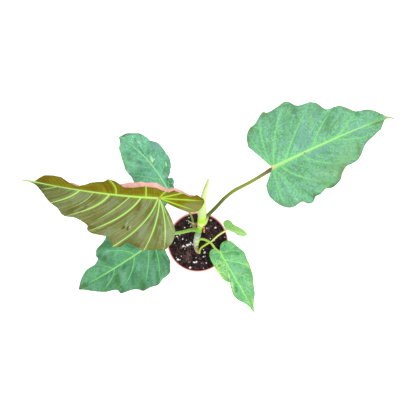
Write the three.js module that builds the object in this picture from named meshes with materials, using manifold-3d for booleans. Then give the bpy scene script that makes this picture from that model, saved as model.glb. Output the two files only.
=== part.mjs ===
// A young potted philodendron: a tapered nursery pot full of bark mix, one leaning
// stem with a pale sheath at its top, and six heart-shaped leaves on round petioles.
// Millimetres, +Z up. The origin is the centre of the pot's flat underside.
// The far side of the pot, away from the viewer, is +Y.

import * as THREE from 'three';
import Module from 'manifold-3d';

const wasm = await Module();
wasm.setup();

// Pot
const potHeight = 82;
const potBaseRadius = 37;
const potWallRadius = 48.6;
const lipRadius = 52.5;
const lipInnerRadius = 50.2;
const lipHeight = 12;
const potWall = 1.6;
const potFloor = 2.2;
const potSides = 36;
const drainHoleRadius = 4;
const drainHoleCircle = 22;
const drainHoleCount = 4;

// Soil
const soilEdgeHeight = 78;
const soilMound = 1.6;
const soilLump = 0.8;
const soilRings = 6;
const soilSides = potSides;
const perliteCount = 26;
const perliteRadius = [1.3, 2.2];
const chipCount = 5;
const chipSize = [9, 6, 2.4];
const soilSeed = 11;
const stemFoot = [-1.6, -20];
const perliteClearance = 9;
const perliteSpacing = 5.5;
const perliteSpread = 44;
const chipClearance = 15;
const chipSpacing = 4;
const chipSpread = 40;

// Fit between pieces, and blade thickness
const gap = 0.3;
const bladeThickness = 0.9;
const petioleSides = 9;
const petioleSegments = 14;
const midribSteps = 96;
const slopeSteps = 24;

// Where along a blade its drip tip starts to swing
const dripStart = 0.9;

// The stem's centre line from inside the soil to the sheath, as [x, y, z, radius]
const stemLine = [
  [1.1, -27, 66, 4], [1, -20.4, 77, 4], [-2.2, -15.4, 84, 4], [-3.2, -8.9, 94, 4.1],
  [-2.7, -3.8, 102, 4.6], [0.4, 3.5, 115, 5], [1.8, 8, 123, 4.9], [3.6, 12, 130, 4.6],
  [5.6, 17.5, 139, 5.2], [7.2, 21.8, 146, 6.4], [8.1, 26, 153, 6.8], [8.4, 28.8, 158.2, 6.8],
];
// Node rings on the stem: [height of the ring, how far it stands out, half width]
const stemRings = [[93, 0.4, 0.8], [107, 0.3, 0.8], [121.5, 0.7, 1.1], [142, 0.9, 1.2]];
const stemSides = 12;
const stemSegments = 36;

// The pale sheath that wraps the next leaf
const sheathLine = [
  [8.4, 28.8, 158.4, 6.6], [8.5, 31, 162.4, 6.9], [8.7, 35, 170, 6.3], [9.3, 39.4, 178.5, 5],
  [10.1, 42.4, 185, 4.2], [12, 49.1, 203, 3.6], [14.6, 56.1, 222, 2.7], [16.8, 60, 236, 1.5],
  [18.3, 61.8, 245, 0.6],
];
const sheathSides = 14;
const sheathSegments = 16;

// Small growths on the stem, as [x, y, z, radius]
const rootBud = [[7.6, 12, 127, 1.7], [10.7, 11.8, 128, 1.9], [12.7, 9.9, 127, 1.3]];
const driedStub = [[3, 17, 136, 1.5], [-2.6, 19, 138, 1.2], [-3.3, 15.2, 135.6, 1]];
const aerialRoot = [
  [0, 17.5, 134, 1], [-6.2, 19.2, 139, 0.8], [-10.5, 20.5, 142, 0.7], [-15.2, 23.4, 144, 0.6],
];
const rootFork = [[-10.2, 20.4, 142, 0.6], [-12.8, 21.3, 143, 0.6], [-13.9, 18.3, 143, 0.5]];

// A soft blade: each half leaves the midrib rising and droops towards its margin.
// A rise table holds [place along the blade, angles outwards from the midrib].
const softRise = [[-0.3, [4, 0, -10]], [0.1, [7, 2, -12]], [0.5, [9, 0, -12]], [1, [8, 0, -6]]];

// A folded half leans, folds down over its crest and flares out again as a flange. Its folds
// hold [place along the blade, distance out to the fold, distance out to the flare].
const foldLean = 25;
const foldHang = 98;
const foldSplay = 15;
const foldWidth = 9;
const flareWidth = 8;
const leanWidth = 8;

// Every leaf is laid out flat first. An edge holds margin points as [along, out] from
// the blade's base. Veins are [place in the edge list, start along the midrib, bow].
// The midrib then swings, droops and rolls, in degrees, and the halves rise about it.
const leaves = [
  {
    name: 'leaf_upper_right',
    base: [114.4, 82.5, 240], heading: 26, swing: 1, dripSwing: -30, pitch: 2, droop: -30, roll: 0,
    length: 233,
    left: {
      reach: 80, columns: 5, rise: softRise,
      edge: [[-17, 45], [-13, 60], [0, 70], [11, 73], [28, 86], [34, 81], [51, 83], [71, 85], [82, 71],
        [108, 66], [118, 47], [141, 44], [159, 28], [184, 22], [203, 11], [212, 3], [233, 0]],
      veins: [[1.2, 0, 0], [3.5, 0, 0.06], [6.7, 0.01, 0.07], [8.8, 0.09, 0.05], [10.7, 0.29, 0.09],
        [12.6, 0.49, 0.08], [14.3, 0.68, 0.08]],
    },
    right: {
      reach: 75, columns: 5, rise: softRise,
      edge: [[-20, 21], [-21, 45], [-12, 62], [0, 67], [15, 65], [29, 72], [36, 67], [54, 63.5], [65, 67],
        [82, 61], [100, 46], [123, 46], [146, 28], [171, 19], [189, 14], [208, 2], [233, 0]],
      veins: [[0.7, 0, 0.02], [2, 0, 0.01], [4.6, 0, 0], [8.5, 0.05, 0.13], [10.4, 0.22, 0.18],
        [13, 0.46, 0.2], [14.4, 0.66, 0.15]],
    },
    petiole: {
      line: [[6, 17, 139], [11.6, 18.6, 144], [14.2, 23.6, 150], [17.2, 29.3, 157], [28.4, 39.2, 170],
        [40.3, 49.7, 184], [46.6, 53.5, 191], [57.6, 58.7, 202], [80.3, 65.2, 219], [96.8, 72.2, 231]],
      radius: [2.6, 2.2],
    },
  },
  {
    name: 'leaf_folded',
    base: [-53.5, 34, 245], heading: 179, swing: -16, dripSwing: 16, pitch: 5, droop: -20, roll: 180,
    length: 213,
    left: {
      columns: 12,
      folds: [[-0.3, 1, 11], [-0.26, 9.5, 25], [-0.22, 5, 29.5], [-0.14, 12, 39], [-0.1, 17, 43],
        [-0.06, 11, 40.5], [0.02, 19.5, 44.5], [0.1, 21, 47], [0.14, 20, 46], [0.2, 16, 44.5],
        [0.25, 16.5, 47.5], [0.33, 27, 59], [0.38, 27, 58], [0.42, 20.5, 50], [0.5, 17, 42],
        [0.54, 10.5, 35], [0.58, 7, 32.5], [0.66, 11.5, 30.5], [0.7, 14.5, 30], [0.74, 17, 45],
        [0.79, 18.5, 60], [0.86, 14.5, 60], [0.9, 3, 60], [1, 2, 60]],
      edge: [[-44, -20], [-57, -17.5], [-65, -5], [-63, 7], [-55, 28], [-44, 42], [-28, 54], [-8, 61],
        [14, 64], [34, 64], [50, 66], [66, 66], [84, 62], [100, 55], [116, 46], [132, 39], [150, 32],
        [165, 28], [178, 20.5], [187, 9], [194, 3], [213, 0]],
      sinusBow: -0.1,
      veins: [[1, 0, -0.03], [2.6, 0, 0], [3.8, 0, 0.15], [5.6, 0, 0], [7.8, 0.03, 0], [9, 0.094, 0.05],
        [10.3, 0.19, 0], [13.8, 0.3, 0], [16, 0.5, 0], [17.6, 0.66, 0]],
    },
    right: {
      reach: 80, columns: 5,
      rise: [[-0.3, [8, 4, 10]], [0.1, [8, 4, 12]], [0.5, [8, 2, 8]], [1, [6, 2, 4]]],
      edge: [[-25, 47], [-23, 60], [-17, 70], [-9, 76], [5.5, 75.5], [20, 78], [31, 71.5], [41, 68.5],
        [50, 75], [58.5, 75.6], [63, 68.5], [69, 62], [89, 58.5], [96, 54], [97.5, 48.5], [115, 40.5],
        [133, 40], [146, 31], [157, 24.5], [172, 12], [187, 1.5], [213, 0]],
      sinusBow: 0.02,
      veins: [[0.3, 0, 0.02], [3, 0, 0.065], [4.9, 0, 0.06], [7.5, 0, 0.07], [9.1, 0.01, 0.1],
        [12.5, 0.125, 0.1], [14, 0.2, 0.05], [15.9, 0.345, 0.13], [16.5, 0.455, 0.12], [18, 0.556, 0.12],
        [19.4, 0.72, 0.1]],
    },
    petiole: {
      line: [[8.4, 22, 142], [7, 34.5, 148], [3.5, 41.5, 162], [-11.7, 38.3, 195], [-31.7, 34.8, 224]],
      radius: [3, 2.1],
    },
  },
  {
    name: 'leaf_upper_left',
    base: [-47.1, 72.8, 140], heading: 116, swing: 28, dripSwing: 0, pitch: -8, droop: -18, roll: 0,
    length: 153,
    left: {
      reach: 50, columns: 4, rise: softRise,
      edge: [[-17, 10], [-21, 16], [-21, 24], [-14, 32], [-3, 38], [13, 42], [32, 44], [50, 42], [65, 39],
        [74, 39], [82, 39], [92, 36], [105, 31], [119, 25], [133, 16], [141, 9], [147, 3], [153, 0]],
      veins: [[3, 0, 0.05], [6, 0.04, 0.05], [8.5, 0.17, 0.05], [10.8, 0.3, 0.1], [13.3, 0.47, 0.15],
        [15.5, 0.68, 0.12]],
    },
    right: {
      reach: 40, columns: 4, rise: softRise,
      edge: [[-16, 5], [-19, 11], [-12, 14], [-3, 11], [5, 12], [13, 16], [19, 15], [23, 10], [29, 16],
        [34, 19], [38, 25], [48, 30], [58, 32], [73, 33], [85, 33], [97, 27], [109, 27], [126, 23],
        [138, 14], [148, 4], [153, 0]],
      veins: [[4, 0, 0.02], [8, 0.12, 0], [9.5, 0.175, 0], [12, 0.21, 0], [15, 0.45, 0.08],
        [17.5, 0.66, 0.1]],
    },
    petiole: {
      line: [[1.4, 6.9, 115], [-5.6, 14.5, 118], [-7.7, 27.6, 121], [-12.7, 40.9, 123],
        [-29.2, 58.7, 128]],
      radius: [2.2, 1.6],
    },
  },
  {
    name: 'leaf_lower_left',
    base: [-70.3, -4.8, 112], heading: 215, swing: -12, dripSwing: 0, pitch: -8, droop: -25, roll: 0,
    length: 166,
    left: {
      reach: 65, columns: 5, rise: softRise,
      edge: [[-6, 17], [-3.5, 30], [-0.5, 41.5], [6, 51], [12, 57], [24, 60], [35, 64], [46, 60],
        [60, 59], [64, 52], [73, 47], [93, 42], [95, 35], [103, 30], [117, 26], [136, 16], [152, 6],
        [166, 0]],
      veins: [[0.8, 0, 0.02], [2.75, 0.01, 0.04], [5.75, 0.03, 0.07], [7.9, 0.09, 0.055],
        [11.05, 0.265, 0.13], [14.25, 0.515, 0.2]],
    },
    right: {
      reach: 65, columns: 5, rise: softRise,
      edge: [[-22, 7], [-25, 22], [-18, 39], [-6, 52], [10, 62], [28, 65], [45, 63], [59, 59], [69, 53],
        [78, 50], [89, 47], [99, 43], [101, 34], [102, 28], [112, 24], [130, 20], [152, 10], [166, 0]],
      veins: [[2, 0, 0.05], [5, 0, 0.06], [8, 0.09, 0.08], [11.4, 0.255, 0.17], [14.15, 0.52, 0.08]],
    },
    petiole: {
      line: [[3.9, 11.4, 128], [-10.9, 10.8, 126], [-23.6, 8.2, 124], [-42.4, 5.8, 118],
        [-57.7, 1.4, 112]],
      radius: [3, 2.1],
    },
  },
  {
    name: 'leaf_lower_right',
    base: [37, -23.6, 116], heading: -60, swing: 4, dripSwing: 0, pitch: -5, droop: -40, roll: 0,
    length: 126,
    left: {
      reach: 35, columns: 4, rise: softRise,
      edge: [[-9, 7], [-11, 13], [-10, 20], [-6, 25], [3, 29], [14, 33], [23, 36], [34, 33], [47, 33],
        [58, 30], [73, 24], [86, 18], [95, 13], [101, 8], [110, 5], [126, 0]],
      veins: [[2, 0, 0], [5.3, 0.02, 0.03], [8, 0.13, 0.04], [9.8, 0.295, 0], [12, 0.5, 0.05]],
    },
    right: {
      reach: 30, columns: 4, rise: softRise,
      edge: [[-9, 6], [-9, 12], [-6, 16], [0, 19], [10, 20], [22, 20], [33, 18], [42, 17], [49, 13],
        [52, 9], [60, 12], [73, 15], [85, 13], [95, 7], [106, 2], [126, 0]],
      veins: [[2.5, 0, 0], [5, 0.06, 0.03], [7.5, 0.2, 0.05], [11, 0.42, 0.05], [12.6, 0.62, 0.05]],
    },
    petiole: {
      line: [[-0.8, -10.4, 96], [1.1, -4.8, 105], [3.7, -2, 111], [9.6, -2.5, 116], [16.5, -5.6, 119],
        [23.2, -10.2, 120], [29.5, -18.1, 117]],
      radius: [2.1, 1.7],
    },
  },
  {
    name: 'leaf_small',
    base: [47, 13, 125], heading: -18, swing: 8, dripSwing: 0, pitch: 8, droop: -20, roll: 0,
    length: 38,
    left: {
      reach: 15, columns: 3, rise: softRise,
      edge: [[-5, 5], [-7, 10], [-4, 15], [1, 16], [6, 13.7], [11, 9.5], [20, 8], [30, 4.5], [38, 0]],
      veins: [[2, 0, 0], [4, 0.08, 0.03], [5.5, 0.3, 0.05]],
    },
    right: {
      reach: 12, columns: 3,
      rise: [[-0.3, [-100, -105, -105]], [0.25, [-95, -100, -100]], [0.7, [-60, -70, -60]],
        [1, [-55, -60, -50]]],
      edge: [[-4, 4], [-5, 8], [-1, 11], [7, 11], [15, 10], [22, 9], [28, 7], [33, 4], [38, 0]],
      veins: [[3, 0, 0], [5, 0.25, 0.05]],
    },
    petiole: {
      line: [[2.6, -19.6, 81], [5, -14.6, 92], [9.9, -11.5, 100], [16.2, -8.5, 106], [24.1, -5, 111],
        [35.4, 4, 117]],
      radius: [1.7, 1.3],
    },
  },
];

// Colours
const salmonPlastic = { color: 0xe9958a, roughness: 0.5, metalness: 0 };
const barkMix = { color: 0x35241f, roughness: 0.95, metalness: 0 };
const limeStem = { color: 0x9fcf35, roughness: 0.5, metalness: 0 };
const paleSheath = { color: 0xdcedab, roughness: 0.45, metalness: 0 };
const greenPetiole = { color: 0x86a84a, roughness: 0.5, metalness: 0 };
const greenBlade = { color: 0x5fa779, roughness: 0.5, metalness: 0 };
const oliveBlade = { color: 0x8c8350, roughness: 0.55, metalness: 0 };

// Plain helpers
const radians = (degrees) => (degrees * Math.PI) / 180;
const clamp = (x, low, high) => Math.min(Math.max(x, low), high);
const mix = (a, b, f) => a + (b - a) * f;
const smooth = (x) => {
  const f = clamp(x, 0, 1);
  return f * f * (3 - 2 * f);
};

function seededRandom(seed) {
  let state = seed;
  return () => {
    state = (Math.imul(state, 1664525) + 1013904223) >>> 0;
    return state / 4294967296;
  };
}

// A closed solid from points [x, y, z] and triangles [a, b, c]
function solidFrom(points, triangles) {
  const mesh = new wasm.Mesh({
    numProp: 3,
    vertProperties: Float32Array.from(points.flat()),
    triVerts: Uint32Array.from(triangles.flat()),
  });
  return new wasm.Manifold(mesh);
}

// The biggest of the bodies that a cut leaves
function mainBody(solid) {
  return solid.decompose().sort((a, b) => b.volume() - a.volume())[0];
}

function geometryFrom(solid) {
  const mesh = solid.getMesh();
  const geometry = new THREE.BufferGeometry();
  geometry.setAttribute('position', new THREE.BufferAttribute(Float32Array.from(mesh.vertProperties), 3));
  geometry.setIndex(new THREE.BufferAttribute(Uint32Array.from(mesh.triVerts), 1));
  geometry.computeVertexNormals();
  return geometry;
}

// A closed solid of revolution about +Z from a profile [radius, height] that runs
// from the axis, up the outside, over the rim and back to the axis
function revolved(profile, sides) {
  const points = [];
  const triangles = [];
  points.push([0, 0, profile[0][1]]);
  const rings = profile.slice(1, -1);
  for (const [radius, height] of rings) {
    for (let k = 0; k < sides; k += 1) {
      const angle = (2 * Math.PI * k) / sides;
      points.push([radius * Math.cos(angle), radius * Math.sin(angle), height]);
    }
  }
  const last = points.length;
  points.push([0, 0, profile[profile.length - 1][1]]);
  const ringStart = (ring) => 1 + ring * sides;
  for (let k = 0; k < sides; k += 1) {
    const next = (k + 1) % sides;
    triangles.push([0, ringStart(0) + next, ringStart(0) + k]);
    for (let ring = 0; ring < rings.length - 1; ring += 1) {
      const low = ringStart(ring);
      const high = ringStart(ring + 1);
      triangles.push([low + k, low + next, high + next], [low + k, high + next, high + k]);
    }
    const top = ringStart(rings.length - 1);
    triangles.push([top + k, top + next, last]);
  }
  return solidFrom(points, triangles);
}

// A closed round tube along [x, y, z, radius] points, with an optional extra radius and
// a swelling that depends on the height
function tube(line, sides, segments, grow = 0, swelling = () => 0) {
  const curve = new THREE.CatmullRomCurve3(line.map(([x, y, z]) => new THREE.Vector3(x, y, z)));
  const frames = curve.computeFrenetFrames(segments, false);
  const points = [];
  const triangles = [];
  for (let ring = 0; ring <= segments; ring += 1) {
    const u = ring / segments;
    const centre = curve.getPointAt(u);
    const t = curve.getUtoTmapping(u) * (line.length - 1);
    const k = Math.min(Math.floor(t), line.length - 2);
    const radius = mix(line[k][3], line[k + 1][3], t - k) + grow + swelling(centre.z);
    for (let side = 0; side < sides; side += 1) {
      const angle = (2 * Math.PI * side) / sides;
      const p = centre.clone()
        .addScaledVector(frames.normals[ring], radius * Math.cos(angle))
        .addScaledVector(frames.binormals[ring], radius * Math.sin(angle));
      points.push([p.x, p.y, p.z]);
    }
  }
  for (let ring = 0; ring < segments; ring += 1) {
    for (let side = 0; side < sides; side += 1) {
      const a = ring * sides + side;
      const b = ring * sides + ((side + 1) % sides);
      triangles.push([a, b, b + sides], [a, b + sides, a + sides]);
    }
  }
  const ends = [[0, 1], [segments, -1]];
  for (const [ring, way] of ends) {
    const centre = curve.getPointAt(ring / segments);
    const middle = points.length;
    const bulge = 0.4 * (line[ring === 0 ? 0 : line.length - 1][3] + grow);
    const tangent = frames.tangents[ring];
    const cap = centre.clone().addScaledVector(tangent, -way * bulge);
    points.push([cap.x, cap.y, cap.z]);
    for (let side = 0; side < sides; side += 1) {
      const a = ring * sides + side;
      const b = ring * sides + ((side + 1) % sides);
      triangles.push(way > 0 ? [middle, b, a] : [middle, a, b]);
    }
  }
  return solidFrom(points, triangles);
}

// A small rough lump with few sides
function lump(centre, radii, turn) {
  const shape = new THREE.IcosahedronGeometry(1, 0);
  const position = shape.getAttribute('position');
  const points = [];
  const triangles = [];
  const seen = new Map();
  const turned = new THREE.Euler(turn, turn * 2, turn * 3);
  for (let k = 0; k < position.count; k += 1) {
    const key = [position.getX(k), position.getY(k), position.getZ(k)].map((c) => c.toFixed(4)).join();
    if (!seen.has(key)) {
      const p = new THREE.Vector3(position.getX(k), position.getY(k), position.getZ(k)).applyEuler(turned);
      seen.set(key, points.length);
      points.push([centre[0] + p.x * radii[0], centre[1] + p.y * radii[1], centre[2] + p.z * radii[2]]);
    }
    if (k % 3 === 0) triangles.push([]);
    triangles[triangles.length - 1].push(seen.get(key));
  }
  return solidFrom(points, triangles);
}

// Pot
function makePot() {
  const wallTop = potHeight - lipHeight;
  const inside = potBaseRadius - potWall;
  const profile = [
    [0, 0], [potBaseRadius - 1.2, 0], [potBaseRadius, 1.2], [potWallRadius, wallTop],
    [lipRadius - 1, wallTop + 0.8], [lipRadius - 0.2, potHeight - 3], [lipRadius, potHeight - 1],
    [lipRadius - 0.5, potHeight], [lipInnerRadius + 0.4, potHeight], [lipInnerRadius, potHeight - 0.8],
    [lipInnerRadius - 0.6, wallTop + 1.5], [potWallRadius - potWall, wallTop - 0.5],
    [inside + 0.4, potFloor + 1.2], [inside - 0.8, potFloor], [0, potFloor],
  ];
  let pot = revolved(profile, potSides);
  for (let k = 0; k < drainHoleCount; k += 1) {
    const angle = (2 * Math.PI * (k + 0.5)) / drainHoleCount;
    const x = drainHoleCircle * Math.cos(angle);
    const y = drainHoleCircle * Math.sin(angle);
    pot = pot.subtract(tube([[x, y, -3, drainHoleRadius], [x, y, potFloor + 3, drainHoleRadius]], 14, 2));
  }
  return pot;
}

// Soil: one lumpy plug with perlite and bark raised on it, and a hole for the stem
function soilHeight(x, y) {
  const out = Math.hypot(x, y) / lipInnerRadius;
  const lumps = Math.sin(0.31 * x + 1.2) * Math.cos(0.27 * y - 0.4) + 0.6 * Math.sin(0.55 * x - 0.62 * y);
  return soilEdgeHeight + soilMound * (1 - out * out) + soilLump * lumps * (1 - out ** 6);
}

function makeSoil(stemHole) {
  const random = seededRandom(soilSeed);
  const topRadius = lipInnerRadius - 0.35 - gap;
  const points = [[0, 0, soilHeight(0, 0)]];
  const triangles = [];
  for (let ring = 1; ring <= soilRings; ring += 1) {
    const radius = topRadius * (ring / soilRings) ** 0.8;
    for (let k = 0; k < soilSides; k += 1) {
      const angle = (2 * Math.PI * (k + (ring % 2) / 2)) / soilSides;
      const x = radius * Math.cos(angle);
      const y = radius * Math.sin(angle);
      points.push([x, y, soilHeight(x, y) + (ring < soilRings ? soilLump * (random() - 0.5) : 0)]);
    }
  }
  const wallTop = potHeight - lipHeight;
  const inside = potBaseRadius - potWall;
  const below = [
    [lipInnerRadius - 1, wallTop + 1.8], [potWallRadius - potWall - 0.4, wallTop - 0.2],
    [inside - gap, potFloor + 2], [inside - 1.6, potFloor + gap],
  ];
  const shift = soilRings % 2 / 2;
  for (const [radius, height] of below) {
    for (let k = 0; k < soilSides; k += 1) {
      const angle = (2 * Math.PI * (k + shift)) / soilSides;
      points.push([radius * Math.cos(angle), radius * Math.sin(angle), height]);
    }
  }
  points.push([0, 0, potFloor + gap]);
  const bottom = points.length - 1;
  const rings = soilRings + below.length;
  const at = (ring, k) => 1 + (ring - 1) * soilSides + ((k + soilSides) % soilSides);
  for (let k = 0; k < soilSides; k += 1) {
    triangles.push([0, at(1, k), at(1, k + 1)]);
    for (let ring = 1; ring < rings; ring += 1) {
      // rings of the top are turned by half a step to each other
      const turned = ring < soilRings && ring % 2 === 1;
      if (turned) {
        triangles.push([at(ring, k), at(ring + 1, k), at(ring + 1, k + 1)]);
        triangles.push([at(ring, k), at(ring + 1, k + 1), at(ring, k + 1)]);
      } else {
        triangles.push([at(ring, k), at(ring + 1, k), at(ring, k + 1)]);
        triangles.push([at(ring + 1, k), at(ring + 1, k + 1), at(ring, k + 1)]);
      }
    }
    triangles.push([at(rings, k), bottom, at(rings, k + 1)]);
  }
  let soil = solidFrom(points, triangles);
  const placed = [];
  const clearOfStem = (x, y, reach) => Math.hypot(x - stemFoot[0], y - stemFoot[1]) > reach;
  const free = (x, y, reach) => placed.every(([px, py]) => Math.hypot(px - x, py - y) > reach);
  while (placed.length < perliteCount) {
    const radius = perliteSpread * Math.sqrt(random());
    const angle = 2 * Math.PI * random();
    const x = radius * Math.cos(angle);
    const y = radius * Math.sin(angle);
    const size = mix(perliteRadius[0], perliteRadius[1], random());
    if (clearOfStem(x, y, perliteClearance) && free(x, y, perliteSpacing)) {
      placed.push([x, y]);
      const centre = [x, y, soilHeight(x, y) - 0.15 * size];
      soil = soil.add(lump(centre, [size, size * 0.9, size * 0.8], 6 * random()));
    }
  }
  let chips = 0;
  while (chips < chipCount) {
    const radius = chipSpread * Math.sqrt(random());
    const angle = 2 * Math.PI * random();
    const x = radius * Math.cos(angle);
    const y = radius * Math.sin(angle);
    if (clearOfStem(x, y, chipClearance) && free(x, y, chipSpacing)) {
      placed.push([x, y]);
      chips += 1;
      soil = soil.add(lump([x, y, soilHeight(x, y) - 0.2], chipSize.map((s) => s / 2), 2 * random()));
    }
  }
  return soil.subtract(stemHole);
}

// Blade surface
function midribFrames(leaf) {
  const frames = [];
  const point = new THREE.Vector3(...leaf.base);
  const frameAt = (u) => {
    const drip = leaf.dripSwing * smooth((u - dripStart) / (1 - dripStart));
    const heading = radians(leaf.heading + leaf.swing * u + drip);
    const pitch = radians(leaf.pitch + leaf.droop * u ** 1.5);
    const roll = radians(leaf.roll);
    const along = new THREE.Vector3(
      Math.cos(pitch) * Math.cos(heading), Math.cos(pitch) * Math.sin(heading), Math.sin(pitch),
    );
    const level = new THREE.Vector3(-Math.sin(heading), Math.cos(heading), 0);
    const upright = new THREE.Vector3().crossVectors(along, level);
    const left = level.clone().multiplyScalar(Math.cos(roll)).addScaledVector(upright, Math.sin(roll));
    const face = upright.clone().multiplyScalar(Math.cos(roll)).addScaledVector(level, -Math.sin(roll));
    return { along, left, face };
  };
  for (let k = 0; k <= midribSteps; k += 1) {
    frames.push({ point: point.clone(), ...frameAt(k / midribSteps) });
    const middle = frameAt((k + 0.5) / midribSteps).along;
    point.addScaledVector(middle, leaf.length / midribSteps);
  }
  return frames;
}

function frameOn(leaf, along) {
  const place = clamp(along / leaf.length, 0, 1) * midribSteps;
  const k = Math.min(Math.floor(place), midribSteps - 1);
  const f = place - k;
  const [a, b] = [leaf.frames[k], leaf.frames[k + 1]];
  const frame = {
    point: a.point.clone().lerp(b.point, f),
    along: a.along.clone().lerp(b.along, f).normalize(),
    left: a.left.clone().lerp(b.left, f).normalize(),
    face: a.face.clone().lerp(b.face, f).normalize(),
  };
  frame.point.addScaledVector(frame.along, Math.min(along, 0));
  return frame;
}

// A smooth curve through equally numbered points
function through(points, i) {
  const k = clamp(Math.floor(i), 0, points.length - 2);
  const f = i - k;
  const p1 = points[k];
  const p2 = points[k + 1];
  const p0 = k > 0 ? points[k - 1] : p1.map((c, n) => 2 * c - p2[n]);
  const p3 = k + 2 < points.length ? points[k + 2] : p2.map((c, n) => 2 * c - p1[n]);
  return p1.map((c, n) => 0.5 * (2 * c + (p2[n] - p0[n]) * f
    + (2 * p0[n] - 5 * c + 4 * p2[n] - p3[n]) * f * f + (3 * c - p0[n] - 3 * p2[n] + p3[n]) * f ** 3));
}

// Straight lines through [place, value, value...] rows
function between(rows, place) {
  let k = 0;
  while (k < rows.length - 2 && place > rows[k + 1][0]) k += 1;
  const f = clamp((place - rows[k][0]) / (rows[k + 1][0] - rows[k][0]), 0, 1);
  return rows[k].slice(1).map((value, n) => mix(value, rows[k + 1][n + 1], f));
}

function softSlope(side, place, outward) {
  const { rise } = side;
  let k = 0;
  while (k < rise.length - 2 && place > rise[k + 1][0]) k += 1;
  const f = smooth((place - rise[k][0]) / (rise[k + 1][0] - rise[k][0]));
  const angles = rise[k][1].map((angle, n) => mix(angle, rise[k + 1][1][n], f));
  const x = clamp(Math.abs(outward) / side.reach, 0, 1) * (angles.length - 1);
  const first = Math.min(Math.floor(x), angles.length - 2);
  return radians(mix(angles[first], angles[first + 1], smooth(x - first)));
}

function foldedSlope(side, place, outward) {
  const [fold, flare] = between(side.folds, place);
  const lean = foldLean * smooth(outward / leanWidth);
  const hang = (foldHang - foldLean) * smooth((outward - fold) / foldWidth + 0.5);
  const splay = (foldHang - foldSplay) * smooth((outward - flare) / flareWidth + 0.5);
  return radians(lean + hang - splay);
}

// Where the row to place i of the edge starts on the midrib, and how far it bows
function rowCourse(side, i) {
  const last = side.edge.length - 1;
  return between([[0, 0, side.sinusBow ?? 0], ...side.veins, [last, 1, 0]], i);
}

// The blade's middle surface at row i and fraction t from the midrib to the margin
function bladePoint(leaf, side, sign, i, t) {
  const [edgeAlong, edgeOut] = through(side.edge, i);
  const [share, bow] = rowCourse(side, i);
  const start = share * leaf.length;
  const run = edgeAlong - start;
  const along = start + run * t - 4 * bow * Math.hypot(run, edgeOut) * t * (1 - t);
  const outward = edgeOut * t;
  const slope = side.folds ? foldedSlope : softSlope;
  let across = 0;
  let up = 0;
  for (let k = 0; k < slopeSteps; k += 1) {
    const angle = slope(side, along / leaf.length, ((k + 0.5) / slopeSteps) * outward);
    across += (Math.cos(angle) * outward) / slopeSteps;
    up += (Math.sin(angle) * outward) / slopeSteps;
  }
  const frame = frameOn(leaf, along);
  return frame.point.addScaledVector(frame.left, across * sign).addScaledVector(frame.face, up);
}

function bladeNormal(leaf, side, sign, i, t) {
  const last = side.edge.length - 1;
  const di = 0.05;
  const dt = 0.03;
  const ahead = bladePoint(leaf, side, sign, Math.min(i + di, last), t);
  const behind = bladePoint(leaf, side, sign, Math.max(i - di, 0), t);
  const outer = bladePoint(leaf, side, sign, i, Math.min(t + dt, 1));
  const inner = bladePoint(leaf, side, sign, i, t - dt);
  return ahead.sub(behind).cross(outer.sub(inner)).multiplyScalar(sign).normalize();
}

// A blade is two alike sheets, one on each face of the middle surface, closed by a wall
// round the margin. Rows of both halves meet on shared midrib points.
function makeBlade(leaf, thickness) {
  const upper = [];
  const lower = [];
  const sheet = [];
  const addVertex = (point, normal) => {
    const high = point.clone().addScaledVector(normal, thickness / 2);
    const low = point.clone().addScaledVector(normal, -thickness / 2);
    upper.push([high.x, high.y, high.z]);
    lower.push([low.x, low.y, low.z]);
    return upper.length - 1;
  };
  const midribPlaces = new Map();
  const halves = [[leaf.left, 1], [leaf.right, -1]].map(([side, sign]) => {
    const rows = [];
    for (let i = 0; i <= side.edge.length - 1; i += 0.5) {
      const place = Math.round(rowCourse(side, i)[0] * leaf.length);
      midribPlaces.set(place, null);
      rows.push({ i, place });
    }
    return { side, sign, rows };
  });
  const places = [...midribPlaces.keys()].sort((a, b) => a - b);
  for (const place of places) {
    const frame = frameOn(leaf, place);
    midribPlaces.set(place, addVertex(frame.point, frame.face));
  }
  const tip = midribPlaces.get(leaf.length);
  const margins = halves.map(({ side, sign, rows }) => {
    const flip = sign < 0;
    const face = (a, b, c) => sheet.push(flip ? [a, c, b] : [a, b, c]);
    for (const row of rows) {
      row.cells = [];
      for (let column = 1; column <= side.columns; column += 1) {
        if (row.place === leaf.length) {
          row.cells.push(tip);
        } else {
          const t = column / side.columns;
          row.cells.push(addVertex(
            bladePoint(leaf, side, sign, row.i, t), bladeNormal(leaf, side, sign, row.i, t),
          ));
        }
      }
    }
    for (let r = 0; r < rows.length - 1; r += 1) {
      const near = rows[r];
      const far = rows[r + 1];
      const shared = places.filter((place) => place >= near.place && place <= far.place);
      for (let m = 0; m < shared.length - 1; m += 1) {
        face(near.cells[0], midribPlaces.get(shared[m]), midribPlaces.get(shared[m + 1]));
      }
      const end = midribPlaces.get(far.place);
      if (far.cells[0] !== end) face(near.cells[0], end, far.cells[0]);
      for (let column = 0; column < side.columns - 1; column += 1) {
        const [a, b] = [near.cells[column], near.cells[column + 1]];
        const [c, d] = [far.cells[column], far.cells[column + 1]];
        if (c === d) {
          face(a, c, b);
        } else {
          face(a, c, b);
          face(b, c, d);
        }
      }
    }
    const rim = [...rows[0].cells, ...rows.slice(1, -1).map((row) => row.cells[row.cells.length - 1])];
    return rim;
  });
  const base = midribPlaces.get(0);
  const loop = [base, ...margins[0], tip, ...margins[1].reverse()];
  const count = upper.length;
  const points = [...upper, ...lower];
  const triangles = [];
  for (const [a, b, c] of sheet) {
    triangles.push([a, b, c], [count + a, count + c, count + b]);
  }
  for (let k = 0; k < loop.length; k += 1) {
    const a = loop[k];
    const b = loop[(k + 1) % loop.length];
    triangles.push([a, b, count + b], [a, count + b, count + a]);
  }
  return solidFrom(points, triangles);
}

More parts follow.
